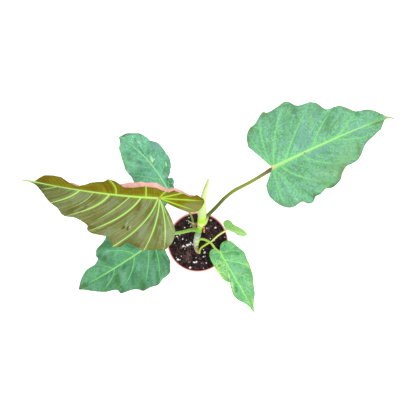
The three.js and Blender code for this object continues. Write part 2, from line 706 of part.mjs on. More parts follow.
// A petiole runs from inside the stem's edge to just under the blade's base
function petioleLine(leaf) {
  const { line, radius } = leaf.petiole;
  const frame = frameOn(leaf, 3);
  const under = frame.face.z > 0 ? -1 : 1;
  const end = frame.point.addScaledVector(frame.face, under * (radius[1] + 0.5));
  const points = [...line, [end.x, end.y, end.z]];
  return points.map(([x, y, z], k) => [x, y, z, mix(radius[0], radius[1], k / (points.length - 1))]);
}

// Assembly
const plant = new THREE.Group();
plant.name = 'potted_philodendron';

function addNode(name, solid, look) {
  const mesh = new THREE.Mesh(geometryFrom(solid), new THREE.MeshStandardMaterial(look));
  mesh.name = name;
  plant.add(mesh);
}

const ringSwelling = (z) => stemRings.reduce(
  (sum, [height, out, halfWidth]) => sum + out * Math.exp(-(((z - height) / halfWidth) ** 2)), 0,
);
const makeStem = (grow) => tube(stemLine, stemSides, stemSegments, grow, ringSwelling);
const growths = [rootBud, driedStub, aerialRoot, rootFork];
let stem = makeStem(0);
for (const growth of growths) stem = stem.add(tube(growth, 8, 6));

const stemClearance = makeStem(gap);
const makeSheath = (grow) => tube(sheathLine, sheathSides, sheathSegments, grow);
const sheath = mainBody(makeSheath(0).subtract(stemClearance));
const axisClearance = stemClearance.add(makeSheath(gap));
addNode('pot', makePot(), salmonPlastic);
addNode('soil', makeSoil(stemClearance), barkMix);
addNode('stem', stem, limeStem);
addNode('sheath', sheath, paleSheath);

for (const leaf of leaves) {
  leaf.frames = midribFrames(leaf);
  const blade = makeBlade(leaf, bladeThickness);
  const clearance = makeBlade(leaf, bladeThickness + 2 * gap);
  const whole = tube(petioleLine(leaf), petioleSides, petioleSegments);
  const petiole = mainBody(whole.subtract(axisClearance).subtract(clearance));
  addNode(leaf.name, blade, leaf.roll > 90 ? oliveBlade : greenBlade);
  addNode(`petiole_${leaf.name.slice(5)}`, petiole, greenPetiole);
}

export default plant;
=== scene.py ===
import math

import bmesh
import bpy
import numpy as np
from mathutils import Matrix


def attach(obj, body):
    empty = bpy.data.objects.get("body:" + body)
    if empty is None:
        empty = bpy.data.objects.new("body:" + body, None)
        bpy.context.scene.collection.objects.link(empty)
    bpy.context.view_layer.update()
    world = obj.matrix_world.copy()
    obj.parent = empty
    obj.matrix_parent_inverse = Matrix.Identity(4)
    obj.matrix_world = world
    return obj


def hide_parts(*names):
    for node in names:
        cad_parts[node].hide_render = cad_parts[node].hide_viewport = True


# The looks of a young potted philodendron: fine leaf blades with veins, round petioles,
# a ringed stem with a pale sheath, a plastic pot, and bark mix with perlite.
# Shapes are written in millimetres in the CAD frame and turned into metres at the end.
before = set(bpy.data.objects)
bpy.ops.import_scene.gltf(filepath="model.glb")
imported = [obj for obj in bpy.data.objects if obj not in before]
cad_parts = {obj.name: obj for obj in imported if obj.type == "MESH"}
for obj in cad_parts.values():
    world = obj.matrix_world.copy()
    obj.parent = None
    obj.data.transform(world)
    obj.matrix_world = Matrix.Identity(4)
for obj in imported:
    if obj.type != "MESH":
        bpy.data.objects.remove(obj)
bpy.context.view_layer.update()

MM = 0.001

# Camera
CAMERA_PLACE = (0.01785, -0.18323, 1.05681)
CAMERA_ELEVATION = 76
FIELD_OF_VIEW = 40
SENSOR_WIDTH = 36

# Light
SKY_STRENGTH = 1.0
KEY_STRENGTH = 1.5
KEY_SOFTNESS = 35
KEY_TURN = (38, 0, 35)
PAINT_LEVEL = 0.72
# PINK_HIGHLIGHT_LIFT brightens the painted highlight on the folded leaf's flared margin.
PINK_HIGHLIGHT_LIFT = 1.38
PLASTIC_LIFT = 1.35
PERLITE_LIFT = 1.3
FLOOR_GLOW = 0.5
FLOOR_PAINT = 0.96
FLOOR_REACH = 4000

# Pot
POT_HEIGHT = 82
POT_BASE_RADIUS = 37
POT_WALL_RADIUS = 48.6
LIP_RADIUS = 52.5
LIP_INNER_RADIUS = 50.7
LIP_HEIGHT = 12
WALL_TOP = POT_HEIGHT - LIP_HEIGHT
POT_WALL = 1.6
POT_FLOOR = 2.2
INNER_BASE_RADIUS = POT_BASE_RADIUS - POT_WALL
POT_ROUNDING = 1.1
POT_SIDES = 160
DRAIN_HOLE_RADIUS = 4
DRAIN_HOLE_CIRCLE = 22
DRAIN_HOLE_COUNT = 4
DRILL_DEPTH = 12
SHARP_ANGLE = 40

# Soil
SOIL_EDGE_HEIGHT = 78
SOIL_MOUND = 1.6
SOIL_LUMP = 0.8
SOIL_RINGS = 90
SOIL_SIDES = 240
SOIL_SEED = 7
STEM_FOOT = (-1.6, -20)
BARK_COUNT = 420
FINE_COUNT = 500
BARK_REACH = 47.5
BARK_LIMIT = 49.2
LOOSE_PERLITE = 34
PERLITE_REACH = 46
PERLITE_SWELL = 1.22
GRAIN_SHAPE = np.array([1.1, 0.9, 0.85])
FIBRE_COUNT = 26
FIBRE_REACH = 40
FIBRE_RADIUS = 0.22
FIBRE_POINTS = 5
FLATS_PER_GRAIN = 5
# Perlite that shows between the leaves, as (x, y, radius)
SEEN_PERLITE = [
    (23, 38, 1.6), (31, 25, 1.6), (-23, 25, 1.1), (-36, 9, 1.7), (-26, 5, 1.2), (-25, -8, 1.8),
    (-18, -6, 1.9), (-15, -5, 1.3), (-12, -2, 1.5), (-9, -5, 1.4), (-13, -5, 1.1), (47, 8, 0.9),
    (-40, -2, 0.8), (12, -19, 1.8), (10, -26, 1.2), (-6, -36, 1.8), (-2, -35, 1.5), (-13, -45, 1.6),
    (15, -37, 1.1), (-34, -31, 1.9), (-30, -32, 1.2), (10, -14, 0.9), (-3, -28, 0.7), (-16, 43, 1),
    (-37, -27, 0.7), (10, -46, 0.8),
]
# The broad, flaking bark chip in front of the stem: its place and its half sizes
BROAD_CHIP = (-18, -28)
CHIP_REACH = (8, 9)
CHIP_FLAKES = 26

# Blades
SIDES = (("left", 1), ("right", -1))
BLADE_THICKNESS = 0.6
MARGIN_THINNING = 0.5
VEIN_GROOVE = 0.35
RIB_GROOVE = 0.3
VEIN_RIDGE = 0.7
RIB_RIDGE = 1.2
RIB_END_WIDTH = 0.45
RIB_DEPTH_INSIDE = 40
MIDRIB_STEPS = 96
SLOPE_STEPS = 32
DRIP_START = 0.9
ROW_STEP = 0.1
ROWS_BESIDE_VEIN = (-0.06, -0.03, 0, 0.03, 0.06)
ROW_CLEARANCE = 0.012
COLUMN_CROWDING = 1.35
VEIN_POINTS = 28
FLANK_SPREAD = 3.5
RIB_TAPER = 0.75
NET_SIZE = 4.5

# Tubes: points of the curve that they follow, and (sides, rings) of each kind
CURVE_POINTS = 400
STEM_GRID = (64, 260)
SHEATH_GRID = (120, 180)
PETIOLE_GRID = (28, 150)
GROWTH_GRID = (18, 30)
FIBRE_GRID = (6, 16)
# Where along the midrib a petiole ends, and how far under it
PETIOLE_END = 3.0
PETIOLE_GAP = 0.3
# The sheath's lap, keels and ribs as shares of its radius, and the angles of the keels
SHEATH_LAP = 0.1
SHEATH_KEEL = 0.05
KEEL_ANGLES = (1.2, 4.3)
KEEL_WIDTH = 0.16
SHEATH_RIB = 0.012
RIBS_ROUND = 26

# Seeds of what varies from leaf to leaf and from growth to growth
FRONT_SEED = 11
BACK_SEED = 41
BLADE_SEED = 10
PETIOLE_SEED = 60
GROWTH_SEED = 100

# The stem's centre line from inside the soil to the sheath, as (x, y, z, radius)
STEM_LINE = [
    (1.4, -24, 66, 3.2), (1.2, -18.6, 77, 3.2), (-1.8, -14.6, 84, 3.4), (-3.1, -8.9, 94, 3.8),
    (-2.7, -3.8, 102, 4.4), (0.4, 3.5, 115, 5), (1.8, 8, 123, 4.9), (3.6, 12, 130, 4.6),
    (5.6, 17.5, 139, 5.2), (7.2, 21.8, 146, 6.4), (8.1, 26, 153, 6.8), (8.4, 28.8, 158.2, 6.8),
]
# Node rings on the stem: (height of the ring, how far it stands out, half width)
STEM_RINGS = [(93, 0.4, 0.8), (103, 0.3, 0.8), (112, 0.3, 0.8), (125, 0.7, 1.1), (139, 0.9, 1.1)]
SHEATH_LINE = [
    (8.4, 28.8, 158.4, 6.6), (8.4, 31, 162.4, 7), (8.5, 35, 170, 6.9), (8.9, 39.4, 178.5, 6.1),
    (9.7, 42.4, 185, 5.4), (11.6, 49.1, 203, 4.4), (14.6, 56.1, 222, 3.2), (17, 60, 236, 2.4),
    (18.4, 61.8, 245, 1.8),
]
# Small growths on the stem: name, tone, darker tone and centre line
GROWTHS = [
    ("root_bud", (240, 156, 84), (206, 110, 54), [
        (7.2, 14, 128, 1.4), (10, 14.6, 129, 1.8), (11.4, 12.2, 129, 1.5), (11.2, 9.8, 127.5, 1.8),
        (10.4, 8, 126, 1.1),
    ]),
    ("dried_stub", (196, 116, 98), (126, 76, 72), [
        (3, 17, 136, 1.5), (-2, 19.6, 138.5, 1.8), (-3.6, 15.4, 135, 1.6), (-4.2, 12, 132, 1.2),
    ]),
    ("aerial_root", (210, 222, 176), (150, 160, 110), [
        (0, 17.5, 134, 1), (-6.2, 19.2, 139, 0.8), (-10.5, 20.5, 142, 0.7), (-15.2, 23.4, 144, 0.6),
    ]),
    ("root_fork", (214, 222, 180), (150, 160, 110), [
        (-10.2, 20.4, 142, 0.6), (-12.8, 21.3, 143, 0.6), (-13.9, 18.3, 143, 0.5),
    ]),
]

# A soft half leaves the midrib rising and droops towards its margin. A rise table
# holds (place along the blade, angles outwards from the midrib).
SOFT_RISE = [(-0.3, (4, 0, -10)), (0.1, (7, 2, -12)), (0.5, (9, 0, -12)), (1, (8, 0, -6))]

# A folded half leans, folds down over its crest and flares out again as a flange. Its folds
# hold (place along the blade, distance out to the fold, distance out to the flare).
FOLD_LEAN = 25
FOLD_HANG = 98
FOLD_SPLAY = 15
LEAN_WIDTH = 8
FOLD_WIDTH = 9
FLARE_WIDTH = 8

# Every leaf is laid out flat first. An edge holds margin points as (along, out) from the
# blade's base. Veins are (place in the edge list, start along the midrib, bow, strength).
# The midrib then swings, droops and rolls, in degrees. A half without a rise is a soft one.
LEAVES = [dict(
    name="leaf_upper_right", base=(114.4, 82.5, 240), heading=26, swing=1, drip_swing=-30, pitch=2,
    droop=-30, roll=0, length=233, vein_width=(2.8, 0.85), vein_fade=0.8, quilt=1.3, ruffle=2.2,
    columns=50,
    left=dict(reach=80, edge=[
        (-18, 45), (-13, 60), (-1, 72), (10, 75), (28, 86), (35, 84.5), (51, 84), (72, 86), (82.6, 71),
        (110, 67.5), (118, 47), (142, 45.5), (159, 28), (172, 26.5), (183.4, 22), (205, 12.5),
        (213, 4), (233, 0),
    ], veins=[
        (1.2, 0, 0, 0.7), (3.5, 0, 0.06, 1), (6.7, 0.01, 0.07, 1), (8.8, 0.09, 0.05, 1),
        (10.7, 0.29, 0.09, 1), (13.1, 0.49, 0.08, 1), (15.4, 0.68, 0.08, 0.5),
    ]),
    right=dict(reach=75, edge=[
        (-21.4, 20.5), (-24.4, 33), (-22.4, 45.6), (-12, 62.3), (0, 67.7), (14.6, 66.4), (20.6, 72.5),
        (29, 74), (36.5, 68.5), (45, 68), (54, 64.5), (65, 67), (82.5, 62), (89.6, 53.4),
        (100.5, 47.5), (123, 45), (146, 28.4), (171, 20), (189, 14.5), (208, 2), (233, 0),
    ], veins=[
        (1.6, 0, 0.02, 0.5), (3, 0, 0.01, 1), (6.2, 0, 0, 1), (11.5, 0.05, 0.13, 1),
        (14.4, 0.22, 0.18, 1), (17, 0.46, 0.2, 1), (18.4, 0.66, 0.15, 0.5),
    ]),
    petiole=dict(radius=(3.2, 2.7), line=[
        (6, 17, 139), (11.6, 18.6, 144), (14.6, 23.4, 150), (17.8, 28.8, 157), (29.6, 38, 170),
        (41.8, 48.2, 184), (48, 52.2, 191), (58.6, 57.8, 202), (80.3, 65.2, 219), (96.8, 72.2, 231),
    ], tones=[
        (0, (226, 244, 130)), (0.1, (206, 226, 120)), (0.16, (96, 112, 36)), (0.36, (98, 114, 36)),
        (0.5, (134, 150, 56)), (0.75, (154, 166, 66)), (0.86, (140, 148, 62)), (0.93, (126, 112, 68)),
        (0.97, (136, 100, 82)), (1, (206, 186, 120)),
    ]),
), dict(
    name="leaf_folded", base=(-53.5, 34, 245), heading=179, swing=-16, drip_swing=16, pitch=5,
    droop=-20, roll=180, length=213, vein_width=(1.7, 0.95), vein_fade=0.4, quilt=1.1, ruffle=1.6,
    columns=54,
    left=dict(sinus_bow=-0.1, folds=[
        (-0.3, 1, 11), (-0.26, 9.5, 25), (-0.22, 5, 29.5), (-0.14, 12, 39), (-0.1, 17, 43),
        (-0.06, 11, 40.5), (0.02, 19.5, 44.5), (0.1, 21, 47), (0.14, 20, 46), (0.2, 16, 44.5),
        (0.25, 16.5, 47.5), (0.33, 27, 59), (0.38, 28, 58), (0.42, 22, 50), (0.5, 18.3, 42),
        (0.54, 11, 35), (0.58, 6.4, 32.5), (0.66, 12.8, 30.5), (0.7, 16.2, 32), (0.74, 19.2, 45),
        (0.79, 20.5, 60), (0.86, 15.2, 60), (0.9, 3, 60), (1, 2, 60),
    ], edge=[
        (-44, -20), (-57, -17.5), (-66, -5), (-63.5, 7), (-55, 28), (-45, 43.5), (-28.5, 55), (-8, 62),
        (14, 65), (34, 65.5), (50, 68.3), (66, 68.5), (84, 64.5), (100, 56), (116, 46.5), (132, 39),
        (150, 32), (165, 28), (178, 20.5), (186, 8), (193, 2), (213, 0),
    ], veins=[
        (1, 0, -0.03, 0.8), (2.3, 0, 0, 1), (3.8, 0, 0.15, 1), (5.6, 0, 0, 1), (7.8, 0.03, 0, 0.25),
        (9, 0.094, 0.05, 1), (10.3, 0.19, 0, 0.2), (14, 0.3, 0.2, 1), (16, 0.5, 0, 0.15),
        (17.6, 0.66, 0, 0.15),
    ]),
    right=dict(reach=80, sinus_bow=0.055, rise=[
        (-0.3, (8, 4, 10)), (0.1, (8, 4, 12)), (0.5, (8, 2, 8)), (1, (6, 2, 4)),
    ], edge=[
        (-25, 47), (-23, 60), (-17, 70), (-9, 76), (5.5, 75.5), (20, 78), (31, 71.5), (41, 68.5),
        (50, 75), (58.5, 75.6), (63, 68.5), (69, 62), (89.5, 60), (97, 55), (98, 49), (115, 41.5),
        (133, 41), (146, 31), (158, 25.5), (174, 13.5), (188, 4), (213, 0),
    ], veins=[
        (0.8, 0, 0.02, 0.45), (3, 0, 0.065, 1), (4.9, 0, 0.06, 1), (7.5, 0, 0.07, 0),
        (9.1, 0.01, 0.1, 1), (12.5, 0.125, 0.1, 1), (14, 0.2, 0.05, 0.5), (15.9, 0.345, 0.13, 1),
        (16.5, 0.455, 0.12, 0.45), (18, 0.556, 0.12, 1), (19.4, 0.72, 0.1, 0.4),
    ]),
    petiole=dict(radius=(3, 2.1), line=[
        (8.4, 22, 142), (7, 34.5, 148), (3.5, 41.5, 162), (-11.7, 38.3, 195), (-31.7, 34.8, 224),
    ], tones=[
        (0, (190, 215, 120)), (0.2, (120, 140, 60)), (0.9, (140, 150, 70)), (0.97, (190, 130, 100)),
        (1, (220, 150, 120)),
    ]),
), dict(
    name="leaf_upper_left", base=(-47.1, 72.8, 140), heading=116, swing=28, drip_swing=0, pitch=-8,
    droop=-18, roll=0, length=154.5, vein_width=(1.25, 0.55), vein_fade=0.8, quilt=1.0, ruffle=1.5,
    columns=36,
    left=dict(reach=50, edge=[
        (-17, 10), (-21, 16), (-21, 24), (-14, 32), (-3, 38), (13, 42), (32, 44), (50, 42), (65, 40),
        (74, 40.5), (82, 40), (92.5, 37), (105, 32), (119, 25.5), (127, 21.8), (133.5, 17), (141, 9.4),
        (147.5, 4.2), (154.5, 0),
    ], veins=[
        (3, 0, 0.05, 0.7), (6, 0.04, 0.05, 0.6), (8.5, 0.17, 0.05, 1), (10.8, 0.3, 0.1, 0.3),
        (13.4, 0.47, 0.15, 1), (16, 0.68, 0.12, 0.4),
    ]),
    right=dict(reach=40, edge=[
        (-16, 5), (-19, 11), (-12, 14.5), (-3, 11), (5, 11.6), (13, 16), (20, 16), (23, 10),
        (28.5, 17), (33, 20), (38, 25), (48, 30), (58, 32), (73, 34), (85, 33), (97.5, 28),
        (109, 27.5), (127.5, 24), (139, 15.2), (149, 5.4), (154.5, 0),
    ], veins=[
        (4, 0, 0.02, 0.5), (8, 0.12, 0, 0.4), (9.5, 0.175, 0, 0), (12, 0.21, 0, 1),
        (15, 0.45, 0.08, 0.5), (17.5, 0.66, 0.1, 0.3),
    ]),
    petiole=dict(radius=(1.8, 1.4), line=[
        (1.4, 6.9, 115), (-5.6, 14.5, 118), (-7.7, 27.6, 121), (-12.7, 40.9, 123), (-29.2, 58.7, 128),
    ], tones=[
        (0, (150, 200, 84)), (0.3, (146, 184, 84)), (0.6, (172, 200, 90)), (1, (150, 190, 110)),
    ]),
), dict(
    name="leaf_lower_left", base=(-70.3, -4.8, 112), heading=215, swing=-12, drip_swing=0, pitch=-8,
    droop=-25, roll=0, length=166, vein_width=(1.5, 0.8), vein_fade=0.9, quilt=1.5, ruffle=2.0,
    columns=42,
    left=dict(reach=65, edge=[
        (-6, 17), (-3.5, 30), (-1.5, 42), (4.5, 52), (11, 59), (24, 60.5), (35, 64), (46, 60.5),
        (60, 58.8), (65, 53), (73, 48), (93, 43), (95.5, 35.5), (103.5, 31.5), (117.5, 27), (136, 16),
        (152, 6.5), (166, 0),
    ], veins=[
        (0.8, 0, 0.02, 0.6), (2.75, 0.01, 0.04, 0.6), (5.75, 0.03, 0.07, 1), (7.9, 0.09, 0.055, 1),
        (11.05, 0.265, 0.13, 1), (14.25, 0.515, 0.2, 1),
    ]),
    right=dict(reach=65, edge=[
        (-22, 7), (-25, 22), (-18, 39), (-6, 52), (10, 62), (28, 65), (45, 63), (59, 59), (70, 54),
        (78.5, 51), (88.5, 46), (97.5, 42), (104.5, 35.4), (102, 28), (112, 23.3), (131, 22.2),
        (153, 11), (166, 0),
    ], veins=[
        (2, 0, 0.05, 0.6), (5, 0, 0.06, 0.6), (8, 0.09, 0.08, 0.6), (11.4, 0.255, 0.17, 1),
        (14.15, 0.52, 0.08, 0.6),
    ]),
    petiole=dict(radius=(3, 2.1), line=[
        (3.9, 11.4, 128), (-10.9, 10.8, 126), (-23.6, 8.2, 124), (-42.4, 5.8, 118), (-57.7, 1.4, 112),
    ], tones=[
        (0, (150, 205, 60)), (0.15, (140, 190, 84)), (0.5, (170, 222, 88)), (1, (190, 230, 100)),
    ]),
), dict(
    name="leaf_lower_right", base=(37, -23.6, 116), heading=-60, swing=4, drip_swing=0, pitch=-5,
    droop=-40, roll=0, length=126, vein_width=(1.1, 0.5), vein_fade=0.8, quilt=1.1, ruffle=1.2,
    columns=34,
    left=dict(reach=35, edge=[
        (-9, 7), (-11, 13), (-10, 20), (-6, 25), (3, 29), (14, 33), (23, 36), (34, 33.5), (47, 32),
        (58, 29.5), (73, 23.5), (86, 17.5), (95.5, 13.5), (101, 9), (109.5, 4), (126, 0),
    ], veins=[
        (2, 0, 0, 0.4), (5.3, 0.02, 0.03, 0.6), (8, 0.13, 0.04, 1), (9.8, 0.295, 0, 0.6),
        (12, 0.5, 0.05, 0.4),
    ]),
    right=dict(reach=30, edge=[
        (-9, 6), (-9, 12), (-6, 16), (0, 19), (10, 20), (22, 20), (33, 19), (42, 18), (50, 14),
        (52, 11), (59, 14), (73, 17), (85, 14), (96, 8), (106, 4), (115.5, 3), (126, 0),
    ], veins=[
        (2.5, 0, 0, 0.5), (5, 0.06, 0.03, 0.6), (7.5, 0.2, 0.05, 0.5), (11, 0.42, 0.05, 0.4),
        (12.6, 0.62, 0.05, 0.3),
    ]),
    petiole=dict(radius=(2.1, 1.7), line=[
        (-1, -8.6, 98.5), (1.2, -4.2, 105), (3.7, -1.8, 111), (9.6, -2.5, 116), (16.5, -5.6, 119),
        (23.2, -10.2, 120), (29.5, -18.1, 117),
    ], tones=[
        (0, (196, 240, 60)), (0.12, (186, 234, 60)), (0.5, (186, 228, 90)), (1, (172, 220, 96)),
    ]),
), dict(
    name="leaf_small", base=(47, 13, 125), heading=-18, swing=8, drip_swing=0, pitch=8, droop=-20,
    roll=0, length=38, vein_width=(0.6, 0.3), vein_fade=0.8, quilt=0.5, ruffle=0.4, columns=22,
    left=dict(reach=15, edge=[
        (-5, 5), (-7, 10), (-4, 15), (1, 16.5), (6, 14.4), (11.5, 11), (20, 9), (30, 5.5), (38, 0),
    ], veins=[
        (2, 0, 0, 0.5), (4, 0.08, 0.03, 0.5), (5.5, 0.3, 0.05, 0.4),
    ]),
    right=dict(reach=12, rise=[
        (-0.3, (-100, -105, -105)), (0.25, (-95, -100, -100)), (0.7, (-60, -70, -60)),
        (1, (-55, -60, -50)),
    ], edge=[
        (-4, 4), (-5, 8), (-1, 11), (7, 11), (15, 10), (22, 9), (28, 8.5), (34, 6), (38, 0),
    ], veins=[
        (3, 0, 0, 0.5), (5, 0.25, 0.05, 0.4),
    ]),
    petiole=dict(radius=(1.7, 1.3), line=[
        (2.6, -19.6, 81), (5, -14.6, 92), (9.9, -11.5, 100), (16.2, -8.5, 106), (24.1, -5, 111),
        (35.4, 4, 117),
    ], tones=[
        (0, (220, 246, 110)), (0.15, (190, 236, 66)), (0.4, (204, 240, 80)), (0.6, (240, 252, 140)),
        (1, (242, 252, 150)),
    ]),
)]


# Plain helpers
def smooth(x):
    x = np.clip(x, 0, 1)
    return x * x * (3 - 2 * x)


def mix(a, b, share):
    return a + (b - a) * share


def vector(*parts):
    """Numbers or arrays of numbers side by side, as the last axis of one array."""
    return np.stack(np.broadcast_arrays(*parts), -1)


def bell(away, width):
    """A soft hump that is 1 where away is 0."""
    return np.exp(-((away / width) ** 2))


def unit(vectors):
    return vectors / np.maximum(np.linalg.norm(vectors, axis=-1, keepdims=True), 1e-9)


def reached_along(points):
    """How far along a line of points each one lies."""
    steps = np.linalg.norm(np.diff(points, axis=0), axis=1)
    return np.concatenate([[0], np.cumsum(steps)])


def lattice(ix, iy, seed):
    value = np.sin(ix * 127.1 + iy * 311.7 + seed * 74.7) * 43758.5453
    return value - np.floor(value)


def ripple(x, y, size, seed):
    """Smooth seeded noise from -1 to 1 whose bumps are about that size."""
    x, y = np.asarray(x, float) / size, np.asarray(y, float) / size
    ix, iy = np.floor(x), np.floor(y)
    fx, fy = smooth(x - ix), smooth(y - iy)
    low = mix(lattice(ix, iy, seed), lattice(ix + 1, iy, seed), fx)
    high = mix(lattice(ix, iy + 1, seed), lattice(ix + 1, iy + 1, seed), fx)
    return 2 * mix(low, high, fy) - 1


def through(points, place):
    """A smooth curve through equally numbered points."""
    points = np.asarray(points, float)
    last = len(points) - 1
    k = np.clip(np.floor(place).astype(int), 0, last - 1)
    f = (place - k)[..., None]
    p1, p2 = points[k], points[k + 1]
    p0 = np.where((k > 0)[..., None], points[np.maximum(k - 1, 0)], 2 * p1 - p2)
    p3 = np.where((k + 2 <= last)[..., None], points[np.minimum(k + 2, last)], 2 * p2 - p1)
    bend = 2 * p0 - 5 * p1 + 4 * p2 - p3
    twist = 3 * p1 - p0 - 3 * p2 + p3
    return 0.5 * (2 * p1 + (p2 - p0) * f + bend * f**2 + twist * f**3)


def put_mesh(name, points, faces, materials, attributes=None, slots=None):
    """A smooth-shaded object from points in millimetres."""
    mesh = bpy.data.meshes.new(name)
    mesh.from_pydata((np.asarray(points) * MM).tolist(), [], faces)
    for material in materials:
        mesh.materials.append(material)
    if slots is not None:
        mesh.polygons.foreach_set("material_index", np.asarray(slots, np.int32))
    for key, values in (attributes or {}).items():
        values = np.asarray(values, np.float32)
        kind, field = ("FLOAT", "value") if values.ndim == 1 else ("FLOAT_VECTOR", "vector")
        mesh.attributes.new(key, kind, "POINT").data.foreach_set(field, values.ravel())
    mesh.shade_smooth()
    mesh.update()
    thing = bpy.data.objects.new(name, mesh)
    bpy.context.scene.collection.objects.link(thing)
    return thing


def dress(piece, slot, *nodes):
    """The piece rides on the plant and stands for its CAD nodes, which it hides. The slot is not used."""
    if nodes:
        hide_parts(*nodes)
    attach(piece, "root")


def add_piece(name, shape, finish, slot, *nodes):
    """A dressed piece from a shape's points and faces, and its attributes if it has any."""
    points, faces, *attributes = shape
    dress(put_mesh(name, points, faces, [finish], *attributes), slot, *nodes)


# Materials
def linear(tone):
    """A linear colour from an sRGB one written from 0 to 255."""
    channels = []
    for value in tone:
        c = value / 255
        channels.append((c / 12.92 if c < 0.04045 else ((c + 0.055) / 1.055) ** 2.4) * PAINT_LEVEL)
    return (*channels, 1)


class Finish:
    """A procedural material, put together from small named steps."""

    def __init__(self, name, roughness=0.5, specular=0.2):
        self.material = bpy.data.materials.new(name)
        self.material.use_nodes = True
        self.tree = self.material.node_tree
        self.tree.nodes.clear()
        self.shader = self.tree.nodes.new("ShaderNodeBsdfPrincipled")
        output = self.tree.nodes.new("ShaderNodeOutputMaterial")
        self.tree.links.new(self.shader.outputs["BSDF"], output.inputs["Surface"])
        self.shader.inputs["Roughness"].default_value = roughness
        self.shader.inputs["Specular IOR Level"].default_value = specular

    def plug(self, socket, value):
        if isinstance(value, bpy.types.NodeSocket):
            self.tree.links.new(value, socket)
        else:
            socket.default_value = value

    def set(self, socket, value):
        self.plug(self.shader.inputs[socket], value)

    def node(self, kind, inputs, output=0, **settings):
        """One output of a new node with these settings and inputs."""
        node = self.tree.nodes.new(f"ShaderNode{kind}")
        for key, value in settings.items():
            setattr(node, key, value)
        for socket, value in inputs.items():
            self.plug(node.inputs[socket], value)
        return node.outputs[output]

    def attribute(self, name, output="Vector"):
        return self.node("Attribute", {}, output, attribute_name=name)

    def parts(self, vector):
        return tuple(self.node("SeparateXYZ", {0: vector}).node.outputs)

    def joined(self, level):
        return self.node("CombineXYZ", {0: level, 1: level, 2: level})

    def scaled(self, vector, scale):
        return self.node("VectorMath", {0: vector, 1: scale}, operation="MULTIPLY")

    def position(self):
        """The place on the object, in millimetres."""
        return self.scaled(self.node("TexCoord", {}, "Object"), (1 / MM, 1 / MM, 1 / MM))

    def plus(self, a, b):
        return self.node("Math", {0: a, 1: b}, operation="ADD")

    def times(self, a, b):
        return self.node("Math", {0: a, 1: b}, operation="MULTIPLY")

    def from_mark(self, vector, along, out, half_length, half_width, turn):
        """The distance from a turned mark's middle, in its own half sizes."""
        within = self.node("Mapping", {
            "Vector": vector, "Location": (along, out, 0), "Rotation": (0, 0, math.radians(turn)),
            "Scale": (half_length, half_width, 1),
        }, vector_type="TEXTURE")
        return self.node("VectorMath", {0: within}, "Value", operation="LENGTH")

    def noise(self, vector, size, detail=2.0, seed=0.0, roughness=0.5):
        return self.node("TexNoise", {
            "Vector": vector, "W": float(seed), "Scale": 1 / size, "Detail": detail,
            "Roughness": roughness,
        }, "Fac", noise_dimensions="4D")

    def cells(self, vector, size, feature="F1"):
        return self.node("TexVoronoi", {"Vector": vector, "Scale": 1 / size}, "Distance", feature=feature)

    def step(self, value, low, high, start=0.0, end=1.0):
        """From start to end as the value runs from low to high."""
        return self.node("MapRange", {
            "Value": value, "From Min": low, "From Max": high, "To Min": start, "To Max": end,
        }, "Result", interpolation_type="SMOOTHSTEP")

    def blend(self, share, a, b):
        """Tone or colour a turning into b."""
        a, b = (linear(c) if isinstance(c, tuple) else c for c in (a, b))
        return self.node("Mix", {0: share, 6: a, 7: b}, 2, data_type="RGBA")

    def wash(self, a, b, value, low, high, start=0.0, end=1.0):
        """Tone or colour a, with b laid over it as the value runs from low to high."""
        return self.blend(self.step(value, low, high, start, end), a, b)

    def lit(self, colour, level):
        return self.scaled(colour, self.joined(level))

    def shaded(self, colour, value, low, high):
        """The colour scaled from low to high as the value rises."""
        return self.lit(colour, self.step(value, 0.25, 0.75, low, high))

    def ramp(self, value, tones):
        """A colour that runs through (place, tone) pairs."""
        colour = self.node("ValToRGB", {0: value})
        stops = colour.node.color_ramp.elements
        while len(stops) < len(tones):
            stops.new(0.5)
        for stop, (place, _) in zip(stops, tones):
            stop.position = place
        for stop, (_, tone) in zip(stops, tones):
            stop.color = linear(tone)
        return colour

    def painted(self, colour, relief, depth):
        """The finished material, with its colour and its relief in millimetres."""
        self.set("Base Color", colour)
        self.set("Normal", self.node("Bump", {"Strength": 1, "Distance": depth * MM, "Height": relief}))
        return self.material


def marked(f, colour, flat, marks, rough):
    """The colour with blots on it. A mark is (along, out, half length, half width, turn,
    tone, strength, raggedness) on the flat blade, its turn measured from the midrib."""
    level_place = f.scaled(flat, (1, 1, 0))
    for *mark, tone, strength, ragged in marks:
        away = f.from_mark(level_place, *mark)
        away = f.plus(away, f.step(rough, 0.25, 0.75, -ragged, ragged))
        colour = f.wash(colour, tone, away, 0.9 - ragged, 1.05 + 0.3 * ragged, strength, 0)
    return colour


def netted(f, colour, flat, net, rough):
    """The colour with a broken net of pale lines over a patch of the flat blade."""
    *patch, tone = net
    level_place = f.scaled(flat, (1, 1, 0))
    away = f.from_mark(level_place, *patch)
    wavy = f.blend(0.25, level_place, f.scaled(f.joined(rough), (30, 30, 0)))
    lines = f.step(f.cells(wavy, NET_SIZE, "DISTANCE_TO_EDGE"), 0.02, 0.2, 1, 0)
    shown = f.times(lines, f.step(away, 0.7, 1.1, 1, 0))
    shown = f.times(shown, f.step(rough, 0.4, 0.55, 0.35, 0.95))
    return f.blend(shown, colour, tone)


